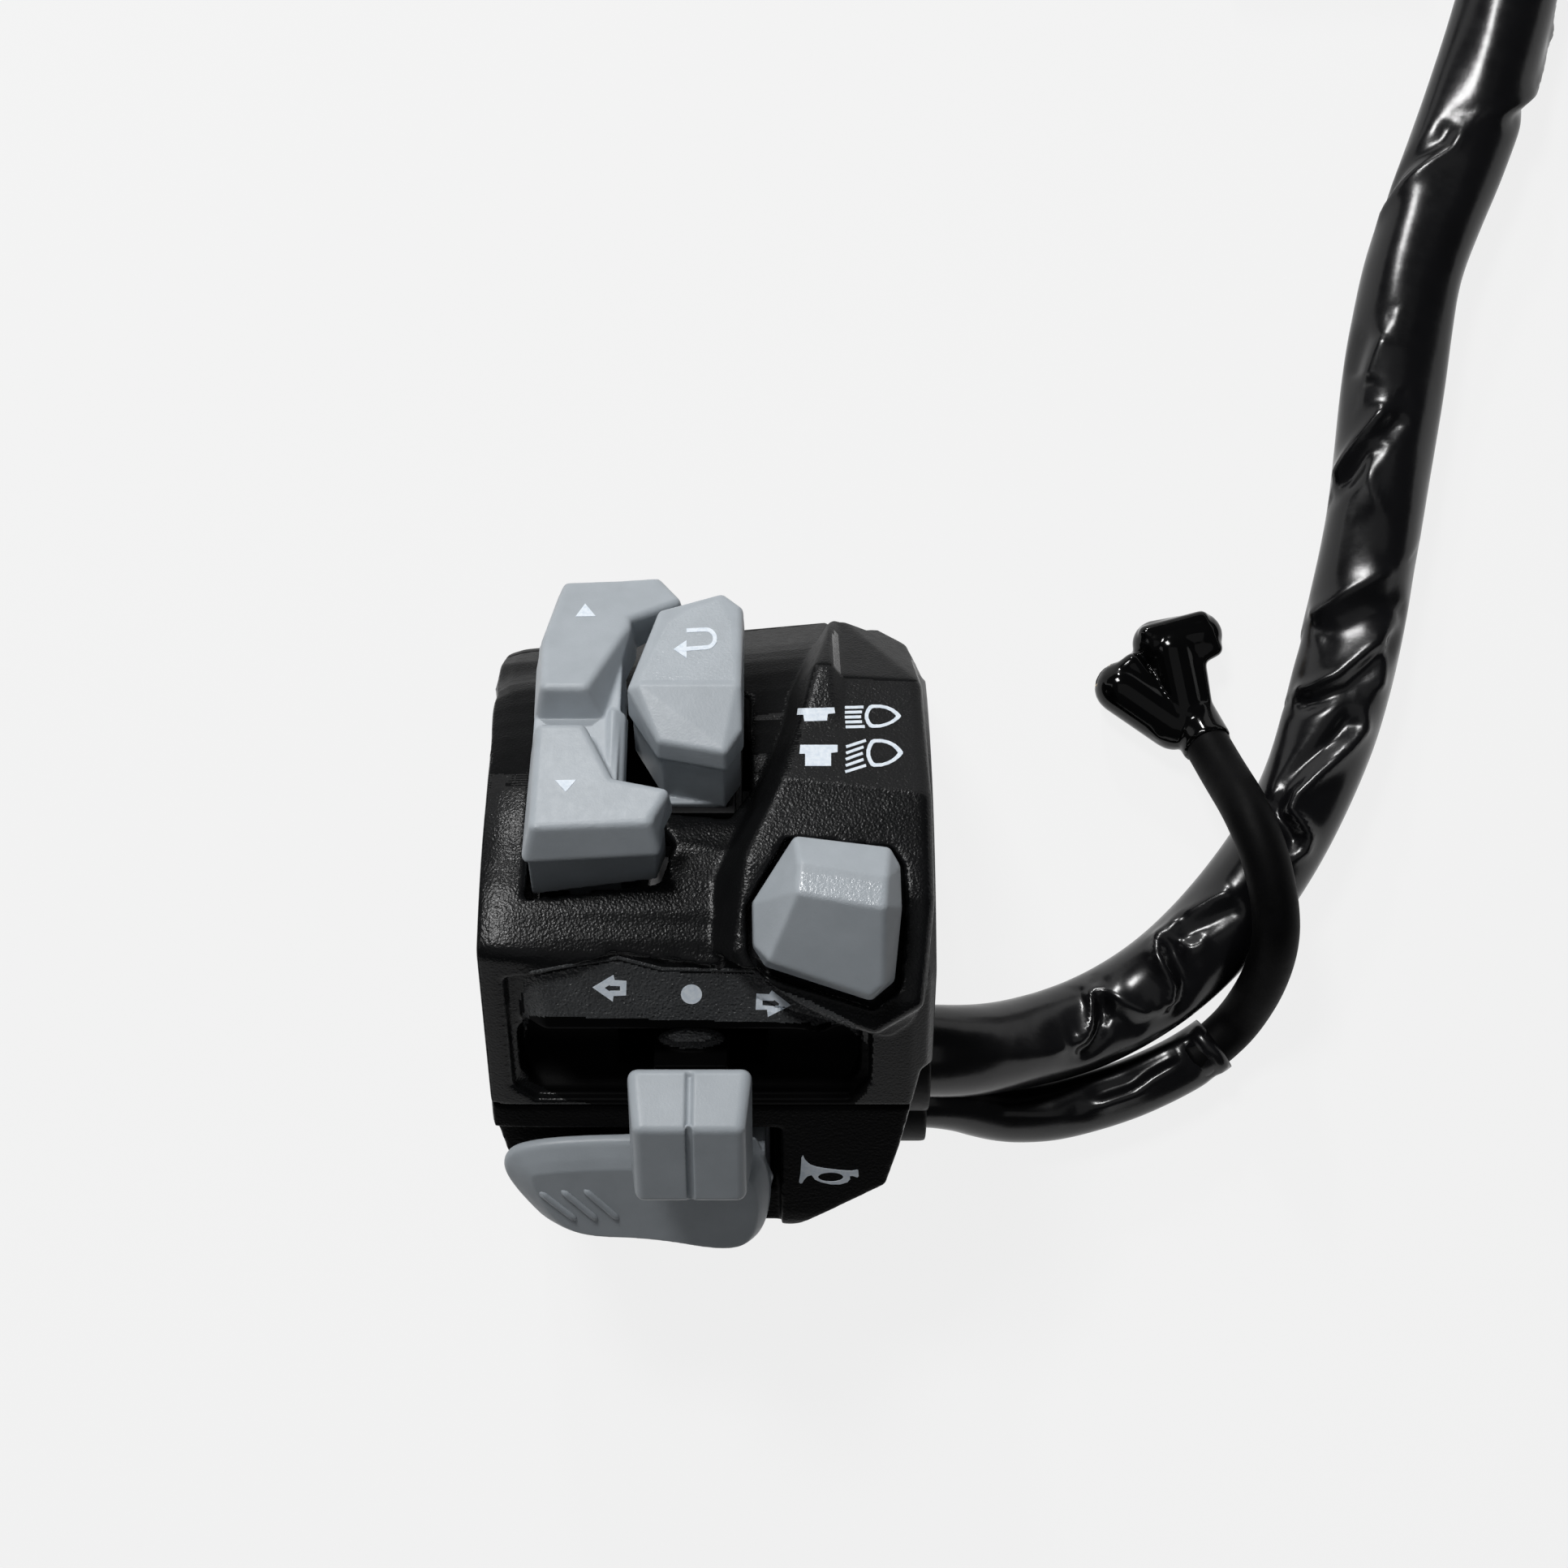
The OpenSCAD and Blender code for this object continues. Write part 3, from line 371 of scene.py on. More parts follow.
def arrays(mesh):
    n, m = len(mesh.vertices), len(mesh.edges)
    co = np.empty(n * 3)
    mesh.vertices.foreach_get("co", co)
    ends = np.empty(m * 2, np.int32)
    mesh.edges.foreach_get("vertices", ends)
    return co.reshape(n, 3), ends[0::2], ends[1::2]


def set_points(mesh, co):
    mesh.vertices.foreach_set("co", co.ravel())
    mesh.update()


def vertex_normals(mesh):
    out = np.empty(len(mesh.vertices) * 3)
    mesh.vertex_normals.foreach_get("vector", out)
    return out.reshape(-1, 3)


def neighbour_mean(values, a, b, count):
    n = len(values)
    cols = [np.bincount(a, col[b], n) + np.bincount(b, col[a], n) for col in values.T]
    return np.stack(cols, 1) / count[:, None]


EDGE_ANGLE = 5.0
EDGE_HOPS = 4


def soften(mesh, rounds, flat_rounds=0):
    """Rounds all edges a little, then evens out only the wide faces, away from any edge."""
    co, a, b = arrays(mesh)
    n = len(co)
    count = np.maximum(np.bincount(a, minlength=n) + np.bincount(b, minlength=n), 1)
    for _ in range(rounds):
        co += 0.5 * (neighbour_mean(co, a, b, count) - co)
    set_points(mesh, co)
    if flat_rounds:
        normal = vertex_normals(mesh)
        bend = np.degrees(np.arccos(np.clip((normal[a] * normal[b]).sum(1), -1, 1)))
        hold = np.zeros(n)
        np.maximum.at(hold, a, bend)
        np.maximum.at(hold, b, bend)
        hold = (hold > EDGE_ANGLE).astype(float)
        for _ in range(EDGE_HOPS):
            grown = hold.copy()
            np.maximum.at(grown, a, hold[b])
            np.maximum.at(grown, b, hold[a])
            hold = grown
        free = (1.0 - hold)[:, None]
        for _ in range(EDGE_HOPS):
            free = np.minimum(free, 0.5 * free + 0.5 * neighbour_mean(free, a, b, count))
        for _ in range(flat_rounds):
            for share in (0.55, -0.56):
                co += share * free * (neighbour_mean(co, a, b, count) - co)
        set_points(mesh, co)
    mesh.shade_smooth()


def node_mesh(node):
    """A welded copy of a CAD node's mesh."""
    bm = bmesh.new()
    bm.from_mesh(nodes[node].data)
    bmesh.ops.remove_doubles(bm, verts=bm.verts, dist=1e-6)
    return to_mesh(bm, node)


def remeshed(mesh, voxel):
    ob = add("work", mesh)
    mod = ob.modifiers.new("remesh", "REMESH")
    mod.mode = "VOXEL"
    mod.voxel_size = voxel * MM
    shown = ob.evaluated_get(bpy.context.evaluated_depsgraph_get())
    out = bpy.data.meshes.new_from_object(shown)
    bpy.data.objects.remove(ob)
    return out


def joined(meshes):
    bm = bmesh.new()
    for m in meshes:
        bm.from_mesh(m)
    return to_mesh(bm, "joined")


class Slant:
    """A slanted frame of part.scad, turned about X: across, along and out of a face, in mm."""

    def __init__(self, tilt):
        self.c, self.s = math.cos(math.radians(tilt)), math.sin(math.radians(tilt))

    def at(self, x, t, h):
        return Vector((x, self.c * t - self.s * h, self.s * t + self.c * h))

    def of(self, co):
        """Across, along and out for an array of points in metres."""
        y, z = co[:, 1] / MM, co[:, 2] / MM
        return co[:, 0] / MM, self.c * y + self.s * z, self.c * z - self.s * y


MENU, BEAM, LOW = Slant(-36), Slant(-12), Slant(38)


def pebble(place, points, r):
    """Rounded convex form round some points, as in part.scad."""
    ball = bmesh.new()
    bmesh.ops.create_icosphere(ball, subdivisions=2, radius=r)
    spots = [v.co.copy() for v in ball.verts]
    ball.free()
    bm = bmesh.new()
    for p in points:
        middle = place.at(*p)
        for d in spots:
            bm.verts.new((middle + d) * MM)
    hull = bmesh.ops.convex_hull(bm, input=bm.verts)
    spare = {g for k in ("geom_interior", "geom_unused") for g in hull[k]
             if isinstance(g, bmesh.types.BMVert)}
    bmesh.ops.delete(bm, geom=list(spare), context="VERTS")
    return to_mesh(bm, "pebble")


def step_up(x, low, high):
    """0 below low, 1 above high, smooth between; for numbers and arrays."""
    x = np.clip((x - low) / (high - low), 0.0, 1.0)
    return x * x * (3.0 - 2.0 * x)


def dress(ob, material, slot, body, *replaced):
    """A piece's material, the nodes that it stands for, its slot, which is not used, and the body
    that it rides on.
    """
    ob.data.materials.append(material)
    if replaced:
        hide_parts(*replaced)
    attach(ob, body)
    return ob


def refined(node, name, body, slot, material, voxel, rounds, flat_rounds=0, extra=(), base=None,
            sculpt=None):
    """A moulded piece in the place of a CAD node: its solid with rounded edges, and extra forms
    fused to it. sculpt(points, normals) moves the points at the end."""
    mesh = base or node_mesh(node)
    if extra:
        mesh = joined([mesh] + list(extra))
    mesh = remeshed(mesh, voxel)
    soften(mesh, rounds, flat_rounds)
    if sculpt:
        co = arrays(mesh)[0]
        sculpt(co, vertex_normals(mesh))
        set_points(mesh, co)
        soften(mesh, 1)
    mesh.materials.clear()
    return dress(add(name, mesh), material, slot, body, node)


def tree_of(ob):
    bm = bmesh.new()
    bm.from_mesh(ob.data)
    tree = BVHTree.FromBMesh(bm)
    bm.free()
    return tree


# ---- Cords: the routes of part.scad, in millimetres
FLOOR = -19.5
HARNESS_D = 11.4
SLEEVE_D = 7.4
LEAD_D = 5.8
CLEAR = 0.1  # between a lying cord and the floor
HARNESS_Z = FLOOR + HARNESS_D / 2 + CLEAR
SLEEVE_Z = FLOOR + SLEEVE_D / 2 + CLEAR
harness_route = [(18.2, -30.1, -6), (22, -30.1, -6), (26, -30.1, -6), (31, -30.2, -7.6),
                 (38, -29.6, -11.2)]
harness_route += [(x, y, HARNESS_Z) for x, y in (
    (46, -27.4), (55, -22), (63, -14.4), (70, -4.4), (75.4, 7.6), (79, 21), (81.8, 36), (84, 51),
    (86.6, 66), (91.6, 80), (97, 96), (101, 116), (103, 150))]
LOOP_X, LOOP_Y, LOOP_R, LOOP_STEPS = 48, 186, 55, 19
loop = []
for i in range(LOOP_STEPS + 1):
    turn = math.radians(270) * i / LOOP_STEPS
    loop.append(Vector((LOOP_X + LOOP_R * math.cos(turn), LOOP_Y + LOOP_R * math.sin(turn),
                        HARNESS_Z)))
loop_end = loop[-1] + Vector((6, 0, 0))
harness_path = resample(smooth_path(harness_route, 2) + loop + [loop_end], 0.5)
CLOSE_POINTS = 380  # past these the loom is out of the picture, and every second point will do
harness_path = harness_path[:CLOSE_POINTS] + harness_path[CLOSE_POINTS::2]
sleeve_route = [(18.2, -36.8, -13.2), (22, -36.8, -13.2), (26, -36.8, -13.2), (30, -37.4, -14.2),
                (35, -38.6, SLEEVE_Z), (42, -38.4, SLEEVE_Z), (51, -36, SLEEVE_Z),
                (58, -32.8, SLEEVE_Z), (62, -30.2, SLEEVE_Z)]
sleeve_path = resample(smooth_path(sleeve_route, 2), 0.7)
lead_route = [(58.8, -32.4, SLEEVE_Z), (62, -30.2, SLEEVE_Z), (65.2, -26.6, -14.4), (67.2, -21, -9),
              (67.6, -15, -4.6), (66.4, -7.6, -3.9), (64.4, -1.4, -5.8), (62.2, 4, -11.2),
              (59.8, 9.4, -15.4), (58.6, 11.6, -15.8)]
lead_path = resample(smooth_path(lead_route, 3), 0.7)


def on_tube(path, radius, u, v):
    """Run along a lying tube, and distance round it, of what a pixel of the photograph shows."""
    axes = frames_along(path)
    ray, eye, rise = pixel_ray(u, v), EYE / MM, 0.8 * radius
    run = runs_of(path)
    near = len(path) // 4
    for _ in range(5):
        spot = eye + ray * ((path[near].z + rise - eye.z) / ray.z)
        near = min(range(len(path)), key=lambda k: (path[k].xy - spot.xy).length_squared)
        t, side, _ = axes[near]
        angle = math.acos(max(-0.97, min(0.97, (spot - path[near]).dot(side) / radius)))
        rise = radius * math.sin(angle)
    return run[near] + (spot - path[near]).dot(t), radius * angle


def folds_from(path, radius, lines):
    """Creases drawn as lines in the photograph's pixels: height, width, hollow side, points."""
    return [(h, w, side, [on_tube(path, radius, u, v) for u, v in pts])
            for h, w, side, pts in lines]


def unseen_folds(start, stop, step, girth):
    """Slanting creases at even but shifting places, for what the photograph doesn't show."""
    out, k, s = [], 0, start
    while s < stop:
        q = (0.31 * girth * k) % girth
        bend = 2.0 * math.sin(1.7 * k)
        line = [(s, q), (s + 5.0, q + 3.2 + bend), (s + 11.0, q + 7.5), (s + 14.0, q + 8.0 - bend)]
        out.append((0.55 + 0.25 * math.sin(2.3 * k), 0.8, 1 if k % 2 else -1, line))
        s += step * (1.0 + 0.3 * math.sin(3.1 * k))
        k += 1
    return out


FOLD_REACH = 7  # a crease ends this many times its width away


def fold_rise(folds, s, q, girth):
    """Height of the creases at a place: a sharp edge with a hollow along one side of it."""
    rise = 0.0
    for height, width, hollow, pts in folds:
        runs = [p[0] for p in pts]
        if s < min(runs) - FOLD_REACH * width or s > max(runs) + FOLD_REACH * width:
            continue
        mid = pts[len(pts) // 2][1]
        here = q + girth * round((mid - q) / girth)
        best, sign, along = 1e9, 1.0, 0.0
        for k, ((s0, q0), (s1, q1)) in enumerate(zip(pts, pts[1:])):
            ds, dq = s1 - s0, q1 - q0
            f = ((s - s0) * ds + (here - q0) * dq) / max(ds * ds + dq * dq, 1e-9)
            g = min(max(f, 0.0), 1.0)
            es, eq = s - s0 - g * ds, here - q0 - g * dq
            d = math.hypot(es, eq)
            if d < best:
                best, along = d, (k + g) / (len(pts) - 1)
                sign = math.copysign(1.0, ds * eq - dq * es)
        fade = min(1.0, 6.0 * along + 0.25, 6.0 * (1.0 - along) + 0.25)
        rise += height * fade * math.exp(-math.sqrt(best * best + 0.05) / width)
        if hollow:
            far = best * sign * hollow - 2.2 * width
            rise -= 0.75 * height * fade * math.exp(-(far / (1.5 * width)) ** 2)
    return rise


def sleeve_shape(path, radius, free_from, folds, flat, dent, seed):
    """Offsets of a thin sleeve over wires: pressed flat in places, with dents and creases."""
    axes = frames_along(path)
    girth = 2 * math.pi * radius
    lowest = FLOOR + 0.03

    def shape(s, angle, i):
        grow = min(max((s - free_from) / 10.0, 0.0), 1.0)
        c, d = math.cos(angle + 0.02 * s), math.sin(angle + 0.02 * s)
        slow = noise.noise(Vector((s / 24.0 + seed, 0.9 * c, 0.9 * d)))
        r = radius * (1.0 + grow * dent * (slow - 0.15))
        r += 1.25 * grow * fold_rise(folds, s, radius * angle, girth)
        press = grow * flat(s)
        x = r * math.cos(angle) * (1.0 + press)
        z = r * math.sin(angle) * (1.0 - press) - radius * press
        return x, max(z, (lowest - path[i].z) / max(axes[i][2].z, 0.2))

    return shape


HARNESS_R = HARNESS_D / 2 * 0.985
SLEEVE_R = SLEEVE_D / 2 * 0.97
LEAD_R = LEAD_D / 2 * 0.99
harness_folds = folds_from(harness_path, HARNESS_R, [
    (1.15, 0.75, -1, [(1346, 1220), (1345, 1245), (1341, 1265), (1333, 1279), (1321, 1285)]),
    (0.75, 1.00, 1, [(1346, 1221), (1362, 1224), (1382, 1233), (1402, 1243), (1422, 1248)]),
    (1.20, 0.75, -1, [(1446, 1143), (1429, 1160), (1429, 1178), (1437, 1196), (1445, 1215),
                      (1442, 1232), (1432, 1240)]),
    (0.80, 0.90, 1, [(1440, 1148), (1468, 1127), (1496, 1110), (1522, 1098)]),
    (0.60, 0.90, 0, [(1440, 1153), (1456, 1160), (1472, 1170), (1490, 1158)]),
    (0.70, 1.60, 0, [(1140, 1293), (1180, 1299), (1230, 1301), (1290, 1296), (1322, 1286)]),
    (1.00, 0.80, 1, [(1600, 856), (1622, 847), (1652, 832), (1682, 804), (1716, 762)]),
    (1.25, 0.75, 1, [(1681, 872), (1678, 895), (1660, 920), (1626, 954), (1601, 979), (1592, 998),
                     (1603, 1012), (1612, 1030), (1606, 1048), (1590, 1062)]),
    (0.70, 0.90, 0, [(1566, 988), (1592, 964), (1622, 940), (1650, 918)]),
    (0.80, 1.50, 1, [(1614, 764), (1642, 745), (1682, 720), (1718, 698)]),
    (0.90, 0.80, 0, [(1704, 786), (1703, 812), (1694, 852)]),
    (1.05, 0.80, -1, [(1716, 498), (1698, 522), (1672, 558), (1648, 596)]),
    (0.60, 0.90, 0, [(1718, 536), (1698, 548), (1691, 572), (1695, 604), (1706, 634)]),
    (0.60, 1.10, 1, [(1712, 410), (1700, 440), (1690, 470)]),
])
UNSEEN_FROM, LOOM_END, UNSEEN_STEP = 140.0, 16.0, 17.0
harness_folds += unseen_folds(UNSEEN_FROM, runs_of(harness_path)[-1] - LOOM_END, UNSEEN_STEP,
                              2 * PI * HARNESS_R)
sleeve_folds = folds_from(sleeve_path, SLEEVE_R, [
    (0.75, 0.70, -1, [(1346, 1367), (1370, 1357), (1400, 1347), (1422, 1330), (1442, 1318),
                      (1460, 1310)]),
    (0.80, 0.60, 1, [(1473, 1274), (1485, 1290), (1499, 1302), (1507, 1320)]),
    (0.40, 1.20, 0, [(1140, 1368), (1180, 1368), (1250, 1372), (1330, 1372)]),
])
GRIPPED = 9.0  # the gland holds the sleeves round for this long
harness = add("harness_sleeve", tube("harness_sleeve", harness_path, 72, sleeve_shape(
    harness_path, HARNESS_R, GRIPPED, harness_folds,
    lambda s: 0.02 + 0.09 * step_up(s, 58, 80), 0.10, 3.7)))
sleeve = add("clutch_sleeve", tube("clutch_sleeve", sleeve_path, 56, sleeve_shape(
    sleeve_path, SLEEVE_R, GRIPPED, sleeve_folds, lambda s: 0.05, 0.10, 9.1), open_end=5.0))
lead = add("clutch_lead_cable", tube(
    "clutch_lead_cable", lead_path, 36,
    lambda s, a, i: (LEAD_R * math.cos(a) * (1 + 0.012 * math.sin(s * 0.21)),
                     LEAD_R * math.sin(a) * (1 + 0.012 * math.cos(s * 0.17)))))
dress(harness, PVC, "sleeve", "housing", "harness_sheath")
dress(sleeve, PVC, "sleeve", "housing", "clutch_sheath")
dress(lead, LEAD, "soft_rubber", "housing", "clutch_lead")


# ---- Shells
def seen_at(p):
    """The photograph's pixel that shows a point."""
    k = FOCAL_PX / (EYE.z - p[2])
    return MIDDLE + (p[0] - EYE.x) * k, MIDDLE - (p[1] - EYE.y) * k


def within(corners, u, v):
    """Whether a pixel lies in an outline of pixels."""
    inside = False
    for (u0, v0), (u1, v1) in zip(corners, corners[1:] + corners[:1]):
        if (v0 > v) != (v1 > v) and u < u0 + (v - v0) * (u1 - u0) / (v1 - v0):
            inside = not inside
    return inside


def disc(u, v, ru, rv, n=28):
    turns = [2 * PI * i / n for i in range(n)]
    return [(u + ru * math.cos(a), v + rv * math.sin(a)) for a in turns]


def region(ob, material, inside):
    """Gives the faces whose middle and normal pass the test another material."""
    ob.data.materials.append(material)
    index = len(ob.data.materials) - 1
    for f in ob.data.polygons:
        if inside(f.center, f.normal):
            f.material_index = index


CROWN_RISE = 1.9  # how much fuller the top is, and how much less so on the pod
POD_DROP = 1.4
POD_EDGE = 13.1, 14.9


def crown(co):
    """The top of both shells, a little fuller than the solids, as is their left edge."""
    x, y, z = co[:, 0] / MM, co[:, 1] / MM, co[:, 2] / MM
    rise = CROWN_RISE - POD_DROP * step_up(x, *POD_EDGE)
    co[:, 1] += MM * rise * step_up(y, 8.0, 15.0) * step_up(np.hypot(y, z), 12.5, 15.5)
    left = 0.5 + 0.5 * step_up(y, 6.0, 11.0) + 0.7 * step_up(y, 11.6, 13.6)
    co[:, 0] -= MM * left * (1.0 - step_up(x, -22.4, -20.0))


# The line along which the pod's foot meets the brow: across and along the lower face
POD_FOOT = [(0.5, 9.4), (4.9, 6.8), (6.45, 4.6), (9.6, 2.6), (14.8, -0.6)]
FOOT_X, FOOT_T = zip(*POD_FOOT)
BROW_H = 35.3
BROW_ROLL = 2.7


def front_form(co, normal):
    """The crown, the floor below the brow rolled over towards the recess, and the pod's foot
    drawn back from the right arrow."""
    crown(co)
    x, t, h = LOW.of(co)
    roll = BROW_ROLL * np.clip((7.7 - t) / 8.2, 0.0, 1.0)
    band = BROW_H + roll
    roll *= step_up(t, -2.0, -0.7) * step_up(h, 33.6, 35.0) * (1.0 - step_up(h, 36.2, 36.8))
    roll *= step_up(x, -21.2, -17.0) * (1.0 - step_up(x, 11.0, 17.0))
    past = t - np.interp(x, FOOT_X, FOOT_T)
    high = band + 0.1 + 0.75 * np.maximum(0.0, past)
    foot = (h > 34.6) & (x > FOOT_X[0]) & (x < FOOT_X[-1]) & (t > -0.7) & (t < 8.0)
    press = np.where(foot, np.minimum(0.0, high - h - roll), 0.0)
    inner, outer = step_up(x, 0.5, 2.0), 1.0 - step_up(x, 11.5, 14.8)
    roll = roll + press * inner * outer * (1.0 - step_up(past, 1.2, 2.4))
    co[:, 1] -= MM * roll * LOW.s
    co[:, 2] += MM * roll * LOW.c


front = refined("front_housing", "front_shell", "housing", "shell", SHELL, 0.26, 4, 30,
                sculpt=front_form)
rear = refined("rear_housing", "rear_shell", "housing", "shell", LOWER_SHADED, 0.34, 4, 30,
               sculpt=lambda co, n: crown(co))
# Pixels of the recess below the brow, whose faces get the painted shade.
RECESS_SHADE = [(652, 1252), (1040, 1262), (1068, 1285), (1068, 1345), (1040, 1374), (770, 1366),
          (700, 1356), (652, 1332), (644, 1290)]
BROW_LIT_BAND = [(645, 1206), (700, 1194), (762, 1184), (816, 1198), (931, 1200), (950, 1216),
             (1000, 1234), (1050, 1259), (1066, 1282), (1040, 1268), (980, 1266), (645, 1266)]


def on_flank(c, n):
    """The two end faces, which the photograph doesn't show."""
    return abs(n.x) > 0.75 and abs(c.x) > 21 * MM


region(front, STEEP, lambda c, n: n.y > 0.70 or n.x < -0.45)
region(front, SIDE_LIT, on_flank)
# The rear shell's underside and ends take the lighter copy; its other faces keep the painted shade.
region(rear, SIDE_LIT, lambda c, n: n.z < 0.05 or on_flank(c, n))
# The band below the crease gets the painted light.
region(front, BROW_LIT, lambda c, n: c.y < -0.01 and n.z > 0.2 and within(BROW_LIT_BAND, *seen_at(c)))
region(front, SMOOTH_SHADE, lambda c, n: c.y < -0.015 and n.z > 0.0 and within(RECESS_SHADE, *seen_at(c)))


# ---- Keys
def inset_corners(corners, widths):
    """A polygon, drawn anticlockwise, with each side moved in by its own width."""
    n, out = len(corners), []
    for i in range(n):
        p, q, r = (Vector(corners[(i + k) % n]) for k in (-1, 0, 1))
        u, w = (q - p).normalized(), (r - q).normalized()
        a, b = Vector((-u.y, u.x)), Vector((-w.y, w.x))
        c, d, e = a.dot(b), widths[i - 1], widths[i]
        out.append(tuple(q + (a * (d - c * e) + b * (e - c * d)) / (1.0 - c * c)))
    return out


def rounded_loop(corners, rounds):
    """Corners cut off again and again."""
    for _ in range(rounds):
        corners = [(a[0] + f * (b[0] - a[0]), a[1] + f * (b[1] - a[1]))
                   for a, b in zip(corners, corners[1:] + corners[:1]) for f in (0.25, 0.75)]
    return corners


def plate(place, outline, shares, profile):
    """A plate with a moulded edge: the outline moved in by the pairs of inset and height, each
    side by its share."""
    bm = bmesh.new()
    rings = []
    for inset, h in profile:
        edge = rounded_loop(inset_corners(outline, [inset * f for f in shares]), 3)
        rings.append([bm.verts.new(place.at(x, t, h) * MM) for x, t in edge])
    loft(bm, rings)
    return to_mesh(bm, "plate")


def cut_below(mesh, place, h):
    """What a mesh has below a height of a slanted frame, closed again."""
    bm = bmesh.new()
    bm.from_mesh(mesh)
    out = place.at(0, 0, 1)
    bmesh.ops.bisect_plane(bm, geom=bm.verts[:] + bm.edges[:] + bm.faces[:],
                           plane_co=out * h * MM, plane_no=out, clear_outer=True)
    bmesh.ops.holes_fill(bm, edges=[e for e in bm.edges if e.is_boundary])
    bm.to_mesh(mesh)
    bm.free()
    return mesh


def rocker_form(co, normal):
    """The skirt stands back under the lower pad."""
    _, t, h = MENU.of(co)
    back_off = 0.8 * (1.0 - step_up(h, 25.4, 26.0)) * (1.0 - step_up(t, -21.0, -17.0))
    co[:, 1] += MM * back_off * MENU.c
    co[:, 2] += MM * back_off * MENU.s


KNOB_X = -2.0
KNOB_FOOT = 40.9
GROOVE_DEPTH, GROOVE_HALF = 0.55, 0.42


def knob_form(co, normal):
    """The groove goes on over the top facet."""
    x, _, h = LOW.of(co)
    facing = normal[:, 1] * LOW.c + normal[:, 2] * LOW.s
    top = step_up(facing, 0.35, 0.55) * step_up(h, 41.6, 42.4)
    depth = GROOVE_DEPTH * top * np.clip(1.0 - (np.abs(x - KNOB_X) / GROOVE_HALF) ** 4, 0.0, 1.0)
    co -= MM * depth[:, None] * normal


def out_of(place, c):
    """Height of a point over the bar's axis in a slanted frame, in metres."""
    return place.c * c.z - place.s * c.y


lower_lip = pebble(MENU, [
    (-17.6, -24.8, 30.4), (-6.2, -24.24, 30.4), (-17.6, -22, 30.4), (-5.6, -22, 30.4),
    (-18.5, -26, 27), (-5.5, -25.3, 27.2), (-18.4, -22, 27), (-5.2, -22, 27.2)], 0.8)
saddle = pebble(MENU, [
    (-10.4, -18.6, 25.5), (-9.3, -18.4, 25.5), (-10.4, -8, 26.4), (-9.3, -8, 26.4),
    (-10.4, -18.6, 27.4), (-9.5, -18.4, 26.6), (-10.4, -8, 28), (-9.5, -8, 27.2)], 0.5)
rocker = refined("menu_rocker", "rocker_key", "rocker", "keys", KEY, 0.17, 3, 10,
                 extra=[lower_lip, saddle], sculpt=rocker_form)
SKIRT_TOP = 25.8 * MM
# The skirt under the lower pad gets the painted shade.
region(rocker, KEY_SHADE, lambda c, n: out_of(MENU, c) < SKIRT_TOP)
back = refined("back_button", "back_key_cap", "back_key", "keys", KEY, 0.15, 3, 10)
BACK_SPARKLE = [(787, 838), (822, 767), (850, 750), (884, 739), (901, 765), (904, 838)]
# The back key's upper facet gets the coarse grain and its painted highlight.
region(back, KEY_COARSE_LIT,
       lambda c, n: n.z > 0.3 and c.z > 0.02 and within(BACK_SPARKLE, *seen_at(c)))
dimmer = refined("dimmer_button", "dimmer_key_cap", "dimmer_key", "keys", KEY, 0.16, 3, 10)
BEAM_SPARKLE = [(988, 1074), (1091, 1088), (1090, 1120), (985, 1102)]
# The band along the dimmer's crease gets the same.
region(dimmer, KEY_COARSE_LIT, lambda c, n: n.z > 0.3 and within(BEAM_SPARKLE, *seen_at(c)))
knob = refined("turn_knob", "turn_knob_cap", "turn_key", "keys", KEY, 0.14, 3, 10, sculpt=knob_form)
# The knob's stem, down in the recess, gets the painted shade.
region(knob, SMOOTH_SHADE, lambda c, n: out_of(LOW, c) < (KNOB_FOOT - 0.1) * MM)
# The groove over the knob gets the painted shade.
region(knob, KEY_SHADE, lambda c, n: abs(c.x / MM - KNOB_X) < 0.33 and abs(n.x) < 0.9
       and out_of(LOW, c) > (KNOB_FOOT + 1.5) * MM)
HORN = [(-22.8, -25.8), (-18, -33.3), (-7.2, -33.7), (1.6, -36), (5.8, -34), (7, -25), (5, -18.6),
        (-9, -18), (-21.4, -18.9), (-23.9, -21.8)]
HORN_EDGE = [0.6, 0.25, 0.25, 0.3, 0.4, 0.6, 1.0, 1.0, 1.0, 0.9]
HORN_PROFILE = [(0.5, 36.2), (0.0, 36.7), (0.0, 37.1), (0.2, 37.55), (0.55, 37.8), (2.0, 38.5),
                (2.25, 38.6), (3.2, 38.95), (3.4, 39.0)]
HORN_CUT = 36.9
horn = refined("horn_lever", "horn_paddle", "horn_key", "keys", KEY, 0.16, 3, 10,
               extra=[plate(LOW, HORN, HORN_EDGE, HORN_PROFILE)],
               base=cut_below(node_mesh("horn_lever"), LOW, HORN_CUT))

BEAD_STEPS = 12
BEAD_TAPER = 1.6


def bead(name, pixels, target, r, sink):
    """A round bead laid on a piece along a line in the photograph's pixels."""
    tree = tree_of(target)
    line = []
    for (u0, v0), (u1, v1) in zip(pixels, pixels[1:]):
        for k in range(BEAD_STEPS + 1 if (u1, v1) == pixels[-1] else BEAD_STEPS):
            ray = pixel_ray(u0 + (u1 - u0) * k / BEAD_STEPS, v0 + (v1 - v0) * k / BEAD_STEPS)
            spot, normal, _, _ = tree.ray_cast(EYE, ray)
            if spot:
                line.append((spot - normal * sink * MM) / MM)
    n = len(line) - 1
    ends = [max(0.0, 1.0 - min(k, n - k) / BEAD_TAPER) for k in range(n + 1)]
    taper = [math.sqrt(max(0.02, 1.0 - e ** 2)) for e in ends]
    return tube(name, line, 16,
                lambda s, a, i: (r * taper[i] * math.cos(a), r * taper[i] * math.sin(a)))


LIP = [(650, 1199), (700, 1190), (762, 1180), (816, 1194), (929, 1196), (945, 1208)]
